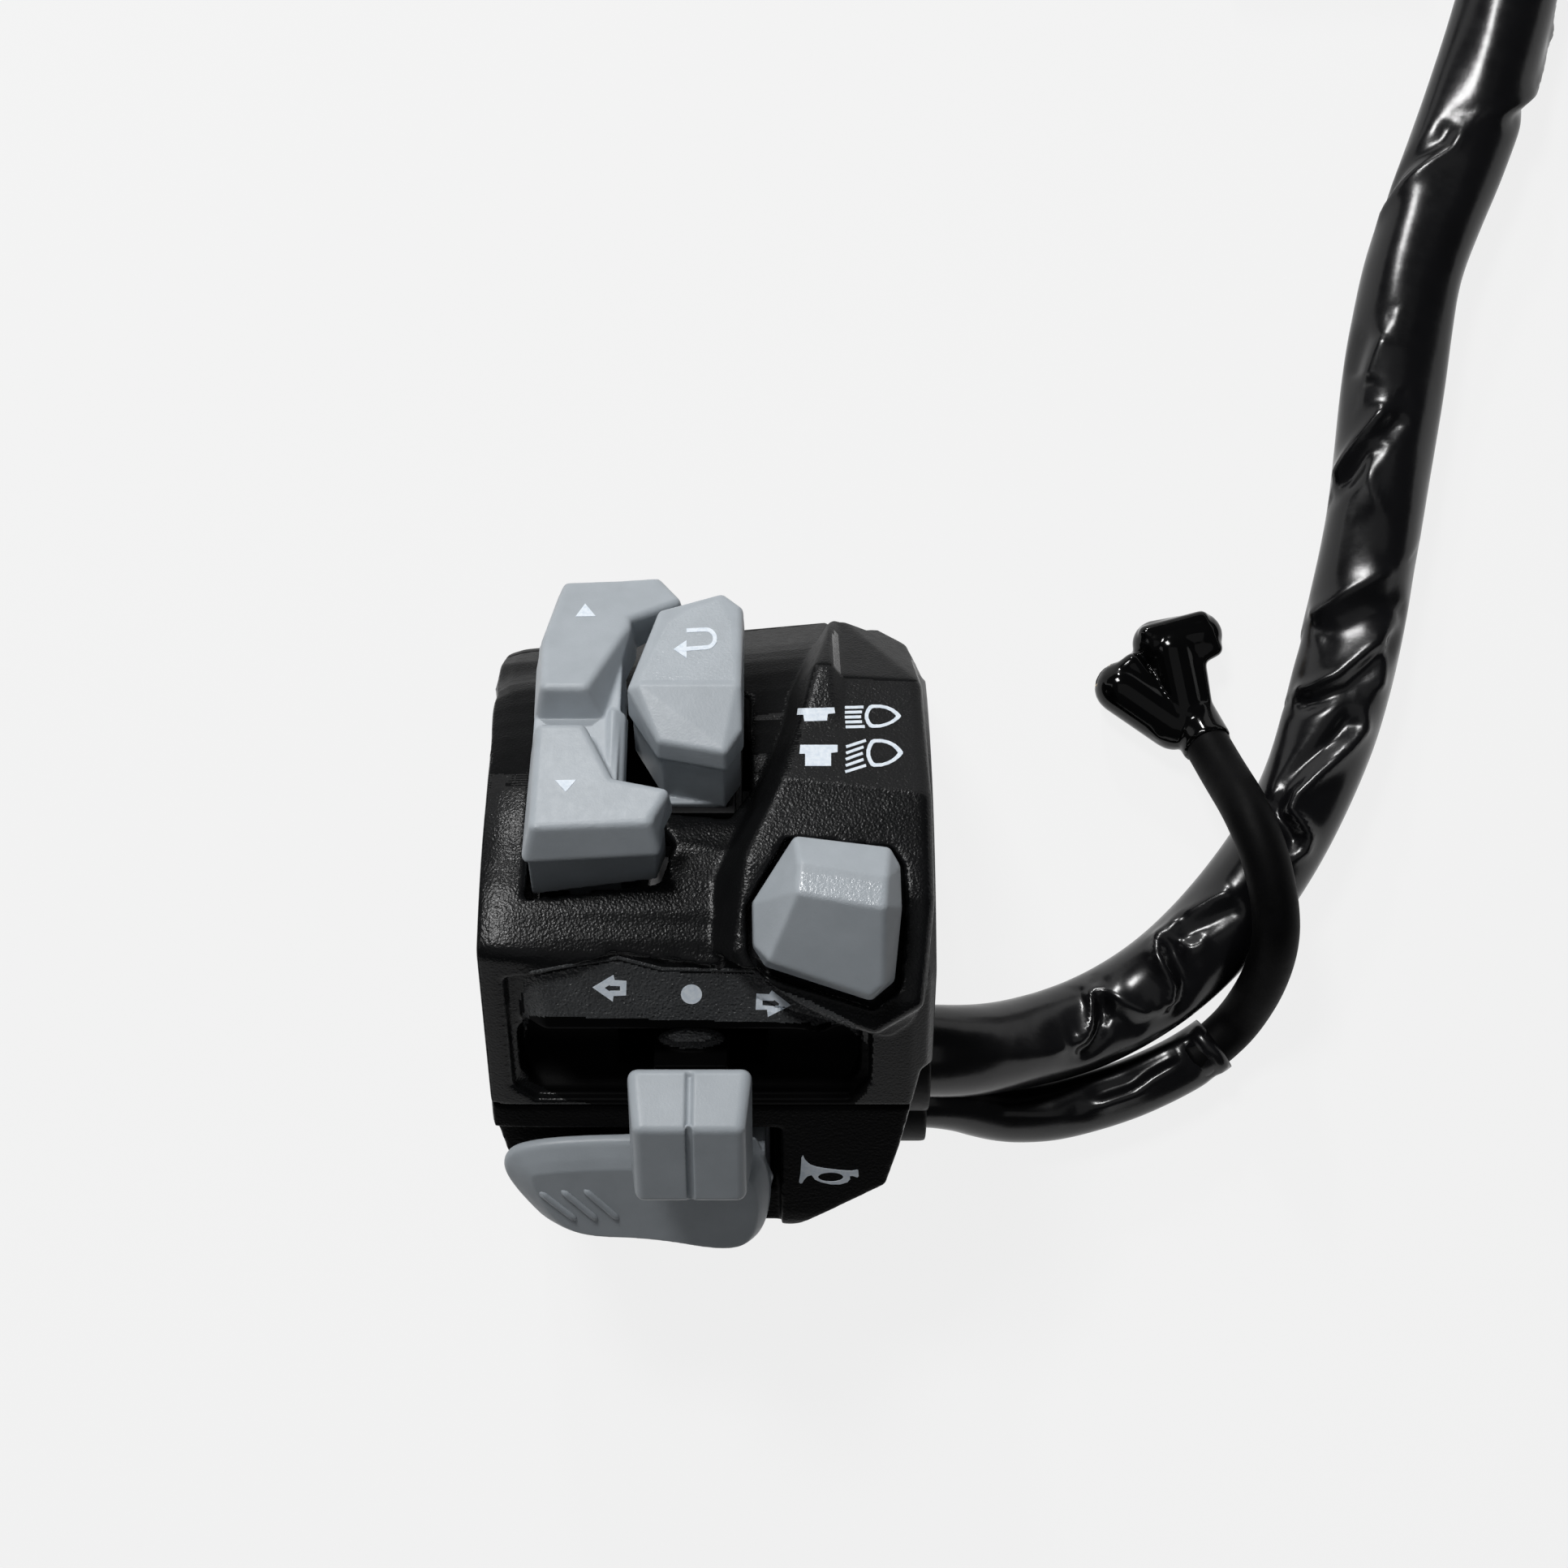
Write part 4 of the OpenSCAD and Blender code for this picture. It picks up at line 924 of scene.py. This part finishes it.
# The lip along the crease is a real bead; it takes the brow's painted light.
dress(add("brow_lip", bead("brow_lip", LIP, front, 0.24, 0.10)), BROW_LIT, "shell", "housing")
RIBS = ([(664, 1468), (711, 1504)], [(691, 1466), (737, 1504)], [(719, 1465), (763, 1503)])
ribs = joined([bead("rib", line, horn, 0.48, 0.16) for line in RIBS])
dress(add("horn_ribs", ribs), KEY, "keys", "horn_key")


def level(pixels, z):
    """Points at one height, in millimetres, that the photograph shows at these pixels."""
    rays = [pixel_ray(u, v) for u, v in pixels]
    return [tuple((EYE + r * ((z * MM - EYE.z) / r.z)) / MM) for r in rays]


boot_z = sum(p[2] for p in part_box("clutch_boots")) / 2 / MM
BOOT_HALF = 1.4
BOOT_FORMS = [[(1412, 780), (1480, 762), (1497, 799), (1484, 806)],
              [(1440, 805), (1476, 815), (1484, 868), (1462, 874)],
              [(1365, 838), (1396, 814), (1452, 886), (1444, 909), (1430, 904), (1369, 850)]]
boot_forms = [tube("collar", lead_path[-9:], 28, circle(3.2))]
for form in BOOT_FORMS:
    corners = level(form, boot_z - BOOT_HALF) + level(form, boot_z + BOOT_HALF)
    boot_forms.append(pebble(Slant(0), corners, 1.0))
boots = refined("clutch_boots", "terminal_boots", "housing", "soft_rubber", BOOT, 0.22, 8, 6,
                extra=boot_forms)
refined("harness_grommet", "sleeve_gland", "housing", "soft_rubber", GLAND, 0.3, 4)

# The bump on the slider, above the knob; its top is painted light grey as a highlight, and its rim
# takes the brow's painted light.
spot = tree_of(nodes["turn_slider"]).ray_cast(EYE, pixel_ray(852, 1284))[0] / MM
dome = bmesh.new()
dome_place = (Matrix.Translation((spot - Vector((0, 0, 0.6))) * MM)
              @ Matrix.Rotation(math.radians(20), 4, "X")
              @ Matrix.Diagonal((3.7 * MM, 2.2 * MM, 2.0 * MM, 1.0)))
bmesh.ops.create_uvsphere(dome, u_segments=40, v_segments=20, radius=1.0, matrix=dome_place)
# The slider in the recess is painted with the shade black.
tower = refined("turn_slider", "turn_carrier", "turn_carriage", "switch_plastic", SMOOTH_SHADE, 0.2, 3, 6,
                extra=[to_mesh(dome, "dome")])
DOME_LIT_RIM, DOME_HIGHLIGHT_SPOT = disc(852, 1279, 41, 13), disc(850, 1277, 27, 7)
# The bump's rim takes the brow's painted light, its top the painted highlight.
region(tower, BROW_LIT, lambda c, n: n.z > 0.2 and within(DOME_LIT_RIM, *seen_at(c)))
region(tower, DOME_HIGHLIGHT, lambda c, n: n.z > 0.2 and within(DOME_HIGHLIGHT_SPOT, *seen_at(c)))
refined("back_collar", "soft_collar", "housing", "soft_rubber", GLAND, 0.12, 4)

# Tape between the sleeve and the connector: one strip in a helix, each turn half over the last
TAPE_R, TAPE_STEP, TAPE_PITCH = HARNESS_D / 2 - 0.75, 0.32, 2.2
tape_path = [loop_end + Vector((-3.0 + 9.1 * k / 90, 0, 0)) for k in range(91)]


def tape_shape(s, a, i):
    r = TAPE_R + TAPE_STEP * (((s / TAPE_PITCH + a / (2 * PI)) % 1.0) ** 0.35)
    return r * math.cos(a), r * math.sin(a)


tape = add("wound_tape", tube("wound_tape", tape_path, 64, tape_shape))
dress(tape, TAPE, "switch_plastic", "housing", "harness_tape")

# Wires inside the housing, laid round each other
wire_route = [(16.6, -27.4, -10.2), (14.4, -24.8, -11.4), (10, -21, -11), (3, -22, -9.5),
              (-2, -27, -7), (-3, -31.5, -1.2), (-3, -33.8, 1.8), (-3, -36.3, 5)]
wire_path = resample(smooth_path(wire_route, 3), 0.6)
WIRE_COLOURS = [(0.010, 0.010, 0.011), (0.30, 0.02, 0.015), (0.02, 0.16, 0.05), (0.42, 0.26, 0.02),
                (0.02, 0.06, 0.26), (0.45, 0.45, 0.43), (0.20, 0.07, 0.02)]
WIRE_LAY, WIRE_TWIST = 1.05, 0.12
wire_axes = frames_along(wire_path)
wire_paints = []
wm = bmesh.new()
for k, colour in enumerate(WIRE_COLOURS):
    off = WIRE_LAY if k else 0.0
    line = []
    for i, (p, (_, side, up)) in enumerate(zip(wire_path, wire_axes)):
        turn = WIRE_TWIST * i + k * PI / 3
        line.append(p + off * (math.cos(turn) * side + math.sin(turn) * up))
    before = len(wm.faces)
    wm.from_mesh(tube("strand", line, 12, circle(0.5)))
    wm.faces.ensure_lookup_table()
    for f in wm.faces[before:]:
        f.material_index = k
    wire_paints.append(matte("wire_%d" % k, colour, 0.4, 0.4, 0.01))
wires = add("wire_strands", to_mesh(wm, "wire_strands"))
dress(wires, wire_paints[0], "soft_rubber", "housing", "wire_bundle")
for paint in wire_paints[1:]:
    wires.data.materials.append(paint)


# ---- Springs below the keys
def coil(node, name, place, foot, length, radius, wire, turns, body):
    steps = 24 * turns
    x, t, h = foot
    path = []
    for i in range(steps + 1):
        angle = 2 * PI * turns * i / steps
        path.append(place.at(x + radius * math.cos(angle), t + radius * math.sin(angle),
                             h + wire / 2 + (length - wire) * i / steps))
    ob = add(name, tube(name, path, 10, circle(wire / 2)))
    dress(ob, SPRING, "spring_steel", body, node)
    tuple(place.at(0, 0, 1))
    tuple(place.at(*foot) * MM)
    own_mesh(ob)


# Foot, then the length, radius, wire and turns of the spring, and the body that it rides on
coil("dimmer_spring", "dimmer_coil", BEAM, (13.0, -15.0, 21.5), 10.25, 3.3, 0.6, 6,
     "housing")
coil("turn_push_spring", "turn_push_coil", LOW, (KNOB_X, -7.6, 25.0), 1.75, 1.3, 0.4, 3,
     "turn_carriage")
coil("horn_spring", "horn_coil", LOW, (-14.0, -25.0, 30.2), 5.85, 2.0, 0.6, 4,
     "housing")

# ---- The other CAD nodes keep their solids and get a finish
for material, names in (
        (STEEL, ("housing_screws", "rocker_pin", "menu_screws", "turn_screws", "horn_pin",
                 "detent_ball")),
        (SPRING, ("detent_spring",)),
        (BLACK_PART, ("menu_frame", "menu_switches", "dimmer_case", "turn_base", "horn_base")),
        (BOARD, ("menu_board",)),
        (BRASS, ("dimmer_contacts", "horn_contact", "connector_pins", "clutch_terminals")),
        (NYLON, ("harness_connector",))):
    for name in names:
        slots = nodes[name].data.materials
        slots.clear()
        slots.append(material)


# ---- Symbols, as thin printed layers that lie on the pieces
def bar(p, q, width):
    """A straight stroke with square ends."""
    p, q = Vector(p), Vector(q)
    u = (q - p).normalized()
    s = Vector((-u.y, u.x)) * width / 2
    return [tuple(p - s), tuple(q - s), tuple(q + s), tuple(p + s)]


def stroke(points, width):
    """A bent stroke with square ends."""
    left, right = [], []
    for i, q in enumerate(points):
        a, b = Vector(points[max(i - 1, 0)]), Vector(points[min(i + 1, len(points) - 1)])
        u = (b - a).normalized()
        side = Vector((-u.y, u.x)) * width / 2
        left.append(tuple(Vector(q) + side))
        right.append(tuple(Vector(q) - side))
    return left + right[::-1]


PRINT_STEP = 4.0  # the longest edge of a layer, in pixels
PRINT_LIFT, PRINT_SINK = 0.05, 0.12


def printed(name, shapes, target, body):
    """Shapes are lists of loops in the photograph's pixels, the first one the outside. Each is
    laid on the target along the lines of sight, as a closed layer that stands a little proud."""
    tree = tree_of(target)
    bm = bmesh.new()
    for loops in shapes:
        flat = [[Vector((u, v, 0)) for u, v in l] for l in loops]
        part = bmesh.new()
        verts = [part.verts.new(p) for l in flat for p in l]
        for tri in tessellate_polygon(flat):
            try:
                part.faces.new([verts[i] for i in tri])
            except ValueError:
                continue
        for _ in range(6):
            long = [e for e in part.edges if e.calc_length() > PRINT_STEP]
            if not long:
                break
            bmesh.ops.subdivide_edges(part, edges=long, cuts=1)
            bmesh.ops.triangulate(part, faces=part.faces)
        hits = {v: tree.ray_cast(EYE, pixel_ray(v.co.x, v.co.y))[:2] for v in part.verts}
        found = [h for h in hits.values() if h[0] is not None]
        if not found:
            raise RuntimeError(name + " meets nothing")
        up = sum((h[1] for h in found), Vector()).normalized()
        nearest = min(found, key=lambda h: (h[0] - EYE).length)[0]
        top, low = {}, {}
        for v, (spot, _) in hits.items():
            if spot is None:
                spot = nearest
            top[v] = bm.verts.new(spot + up * PRINT_LIFT * MM)
            low[v] = bm.verts.new(spot - up * PRINT_SINK * MM)
        for f in part.faces:
            bm.faces.new([top[v] for v in f.verts])
            bm.faces.new([low[v] for v in reversed(f.verts)])
        for e in part.edges:
            if len(e.link_faces) == 1:
                a, b = e.verts
                bm.faces.new((top[a], top[b], low[b], low[a]))
        part.free()
    bmesh.ops.recalc_face_normals(bm, faces=bm.faces)
    dress(add(name, to_mesh(bm, name)), PRINT, "keys", body)


def lamp_outline(u, v, w, h):
    """Headlamp: a flat back on the left and a pointed bow on the right, clockwise."""
    pts = [(0.20, 0.0), (0.42, 0.0), (0.62, 0.06), (0.80, 0.18), (0.93, 0.34), (1.0, 0.46),
           (1.0, 0.52), (0.93, 0.64), (0.78, 0.80), (0.60, 0.92), (0.42, 0.99), (0.20, 1.0),
           (0.12, 0.95), (0.05, 0.80), (0.0, 0.60), (0.0, 0.40), (0.05, 0.20), (0.12, 0.05)]
    return [(u + w * a, v + h * b) for a, b in pts]


def lamp(u, v, w, h, line):
    """A lamp's outline and the hole that leaves a line of that width."""
    hole = lamp_outline(u + line, v + line * 0.85, w - 2.35 * line, h - 1.7 * line)
    return [lamp_outline(u, v, w, h), hole]


beam_marks = [
    [[(983, 873), (1028, 872), (1029, 879), (1020, 880), (1019, 888), (991, 889),
      (990, 881), (982, 881)]],
    [[(986, 918), (1032, 918), (1032, 927), (1024, 928), (1024, 944), (992, 944),
      (992, 929), (985, 929)]],
    lamp(1065.5, 868.5, 44.5, 28.5, 4.6),
    lamp(1067.5, 911, 45, 34, 4.8),
]
RAY_WIDTH = 3.4
HIGH_RAYS = ((1041, 1064), (1041, 1062), (1041, 1061), (1041.5, 1062), (1042, 1065.5))
LOW_RAYS = ((1042.5, 1067), (1042.5, 1064), (1042, 1063), (1042, 1064), (1041.5, 1067))
for row, (left, right) in enumerate(HIGH_RAYS):
    beam_marks.append([bar((left, 872 + 6.0 * row), (right, 871.5 + 6.0 * row), RAY_WIDTH)])
for row, (left, right) in enumerate(LOW_RAYS):
    fall = 8.0 if row in (0, 4) else 7.6
    bottom = 920.5 + 7.7 * row
    beam_marks.append([bar((left, bottom), (right, bottom - fall), RAY_WIDTH)])
printed("beam_symbols", beam_marks, front, "housing")

left_arrow = [(730, 1216.5), (756, 1201), (757.5, 1207.5), (772, 1208.5), (771.5, 1226.5),
              (756, 1227), (755, 1234)]
left_hole = [(745, 1217), (751, 1213.5), (752, 1214.5), (764, 1215), (764, 1220.5), (752, 1220.5),
             (751, 1221.5)]
right_arrow = [(932, 1224), (947.5, 1225), (951, 1220), (974.5, 1238.5), (946, 1253), (945, 1244),
               (931, 1244)]
right_hole = [(939.5, 1232.5), (953, 1233), (954, 1232), (960.5, 1237), (954, 1240.5),
              (953, 1239.5), (939.5, 1238.5)]
printed("turn_symbols", [[left_arrow, left_hole], [right_arrow, right_hole],
                         [disc(852, 1225, 13, 12)]], front, "housing")

horn_loop = [(989.5, 1423.5), (992, 1429), (998, 1434.5), (1006, 1437.5), (1018, 1439.5),
             (1034, 1441.5), (1050, 1442.5), (1056, 1441), (1057.5, 1442), (1058, 1449),
             (1056.5, 1450.5), (1050, 1448.5), (1047, 1449), (1047.5, 1452.5), (1044, 1456.5),
             (1035, 1459), (1024, 1459), (1012, 1456.5), (1004, 1453), (1000, 1447.5), (995, 1449),
             (991, 1453), (988.5, 1457.5), (986, 1458), (984.5, 1456), (986, 1447),
             (987, 1436), (987.5, 1426)]
printed("horn_symbol", [[horn_loop, disc(1023.5, 1450, 15.5, 5.6, 24)]], rear, "housing")

bow = [PI / 2 - PI * k / 10 for k in range(1, 10)]
hook = [(843, 800), (870, 798)]
hook += [(870 + 11 * math.cos(f), 787 + 11 * math.sin(f)) for f in bow]
hook += [(870, 776), (846, 777)]
printed("return_mark", [[stroke(hook, 5.0)], [[(846, 789), (846, 811), (830, 800)]]],
        back, "back_key")
printed("up_mark", [[[(721, 744), (734, 759.5), (709, 760)]]], rocker, "rocker")
printed("down_mark", [[[(684, 961.5), (710, 961), (697, 976)]]], rocker, "rocker")

# ---- Floor, light and surroundings
FLOOR_SIDES = 64
FLOOR_RINGS = ((0.8, 0.0), (3.4, 0.0), (3.7, 0.05), (3.9, 0.18), (4.0, 0.45), (4.0, 1.4))
fm = bmesh.new()
turns = [2 * PI * k / FLOOR_SIDES for k in range(FLOOR_SIDES)]
rings = [[fm.verts.new((r * math.cos(a), r * math.sin(a), z)) for a in turns]
         for r, z in FLOOR_RINGS]
fm.faces.new(rings[0])
for a, b in zip(rings, rings[1:]):
    for j in range(FLOOR_SIDES):
        k = (j + 1) % FLOOR_SIDES
        fm.faces.new((a[j], b[j], b[k], a[k]))
floor = add("floor", to_mesh(fm, "floor"))
floor.location.z = (FLOOR - 0.03) * MM

FLOOR_GLOW = 0.84  # share of plain white in what the camera, gloss and glass see of the floor
paper = Paint("floor_paper", (0.45, 0.45, 0.45), 0.8, specular=0.1)
paper.colour(paper.noise(0.4, 2.0), (0.3, (0.44, 0.44, 0.44)), (0.7, (0.46, 0.46, 0.46)))


def math_node(operation, a, b):
    n = paper.node("Math")
    n.operation = operation
    paper.link(a, n.inputs[0])
    if isinstance(b, float):
        n.inputs[1].default_value = b
    else:
        paper.link(b, n.inputs[1])
    return n.outputs[0]


ray = paper.node("LightPath").outputs
seen = math_node("MAXIMUM", ray["Is Camera Ray"], ray["Is Glossy Ray"])
seen = math_node("MAXIMUM", seen, ray["Is Transmission Ray"])
both = paper.node("MixShader")
paper.link(math_node("MULTIPLY", seen, FLOOR_GLOW), both.inputs[0])
paper.link(paper.shader.outputs[0], both.inputs[1])
paper.link(paper.node("Emission").outputs[0], both.inputs[2])
paper.link(both.outputs[0], paper.nt.nodes["Material Output"].inputs["Surface"])
floor.data.materials.append(paper.material)

SKY_LEVEL = 0.05
world = bpy.data.worlds.new("studio")
world.use_nodes = True
scene.world = world
sky = world.node_tree.nodes["Background"]
sky.inputs["Color"].default_value = (0.92, 0.95, 1.0, 1)
sky.inputs["Strength"].default_value = SKY_LEVEL


def softbox(name, place, aim, size, power):
    data = bpy.data.lights.new(name, "AREA")
    data.shape = "RECTANGLE"
    data.size, data.size_y = size
    data.energy = power
    ob = add(name, data)
    ob.location = place
    ob.rotation_euler = (Vector(aim) - Vector(place)).to_track_quat("-Z", "Y").to_euler()


# Place, aim, size in metres, and watts
MIDST = (0.0, 0.0, 0.0)
softbox("key_light", (-0.175, 0.392, 0.553), MIDST, (0.13, 0.13), 2.7)
softbox("spark_light", (-0.10, 0.73, 0.31), MIDST, (0.05, 0.05), 2.0)
softbox("top_light", (0.05, -0.1, 1.25), (0.05, 0.0, 0.0), (0.9, 0.9), 0.6)
softbox("side_light", (-0.5, 0.1, 0.30), MIDST, (0.12, 0.40), 0.2)
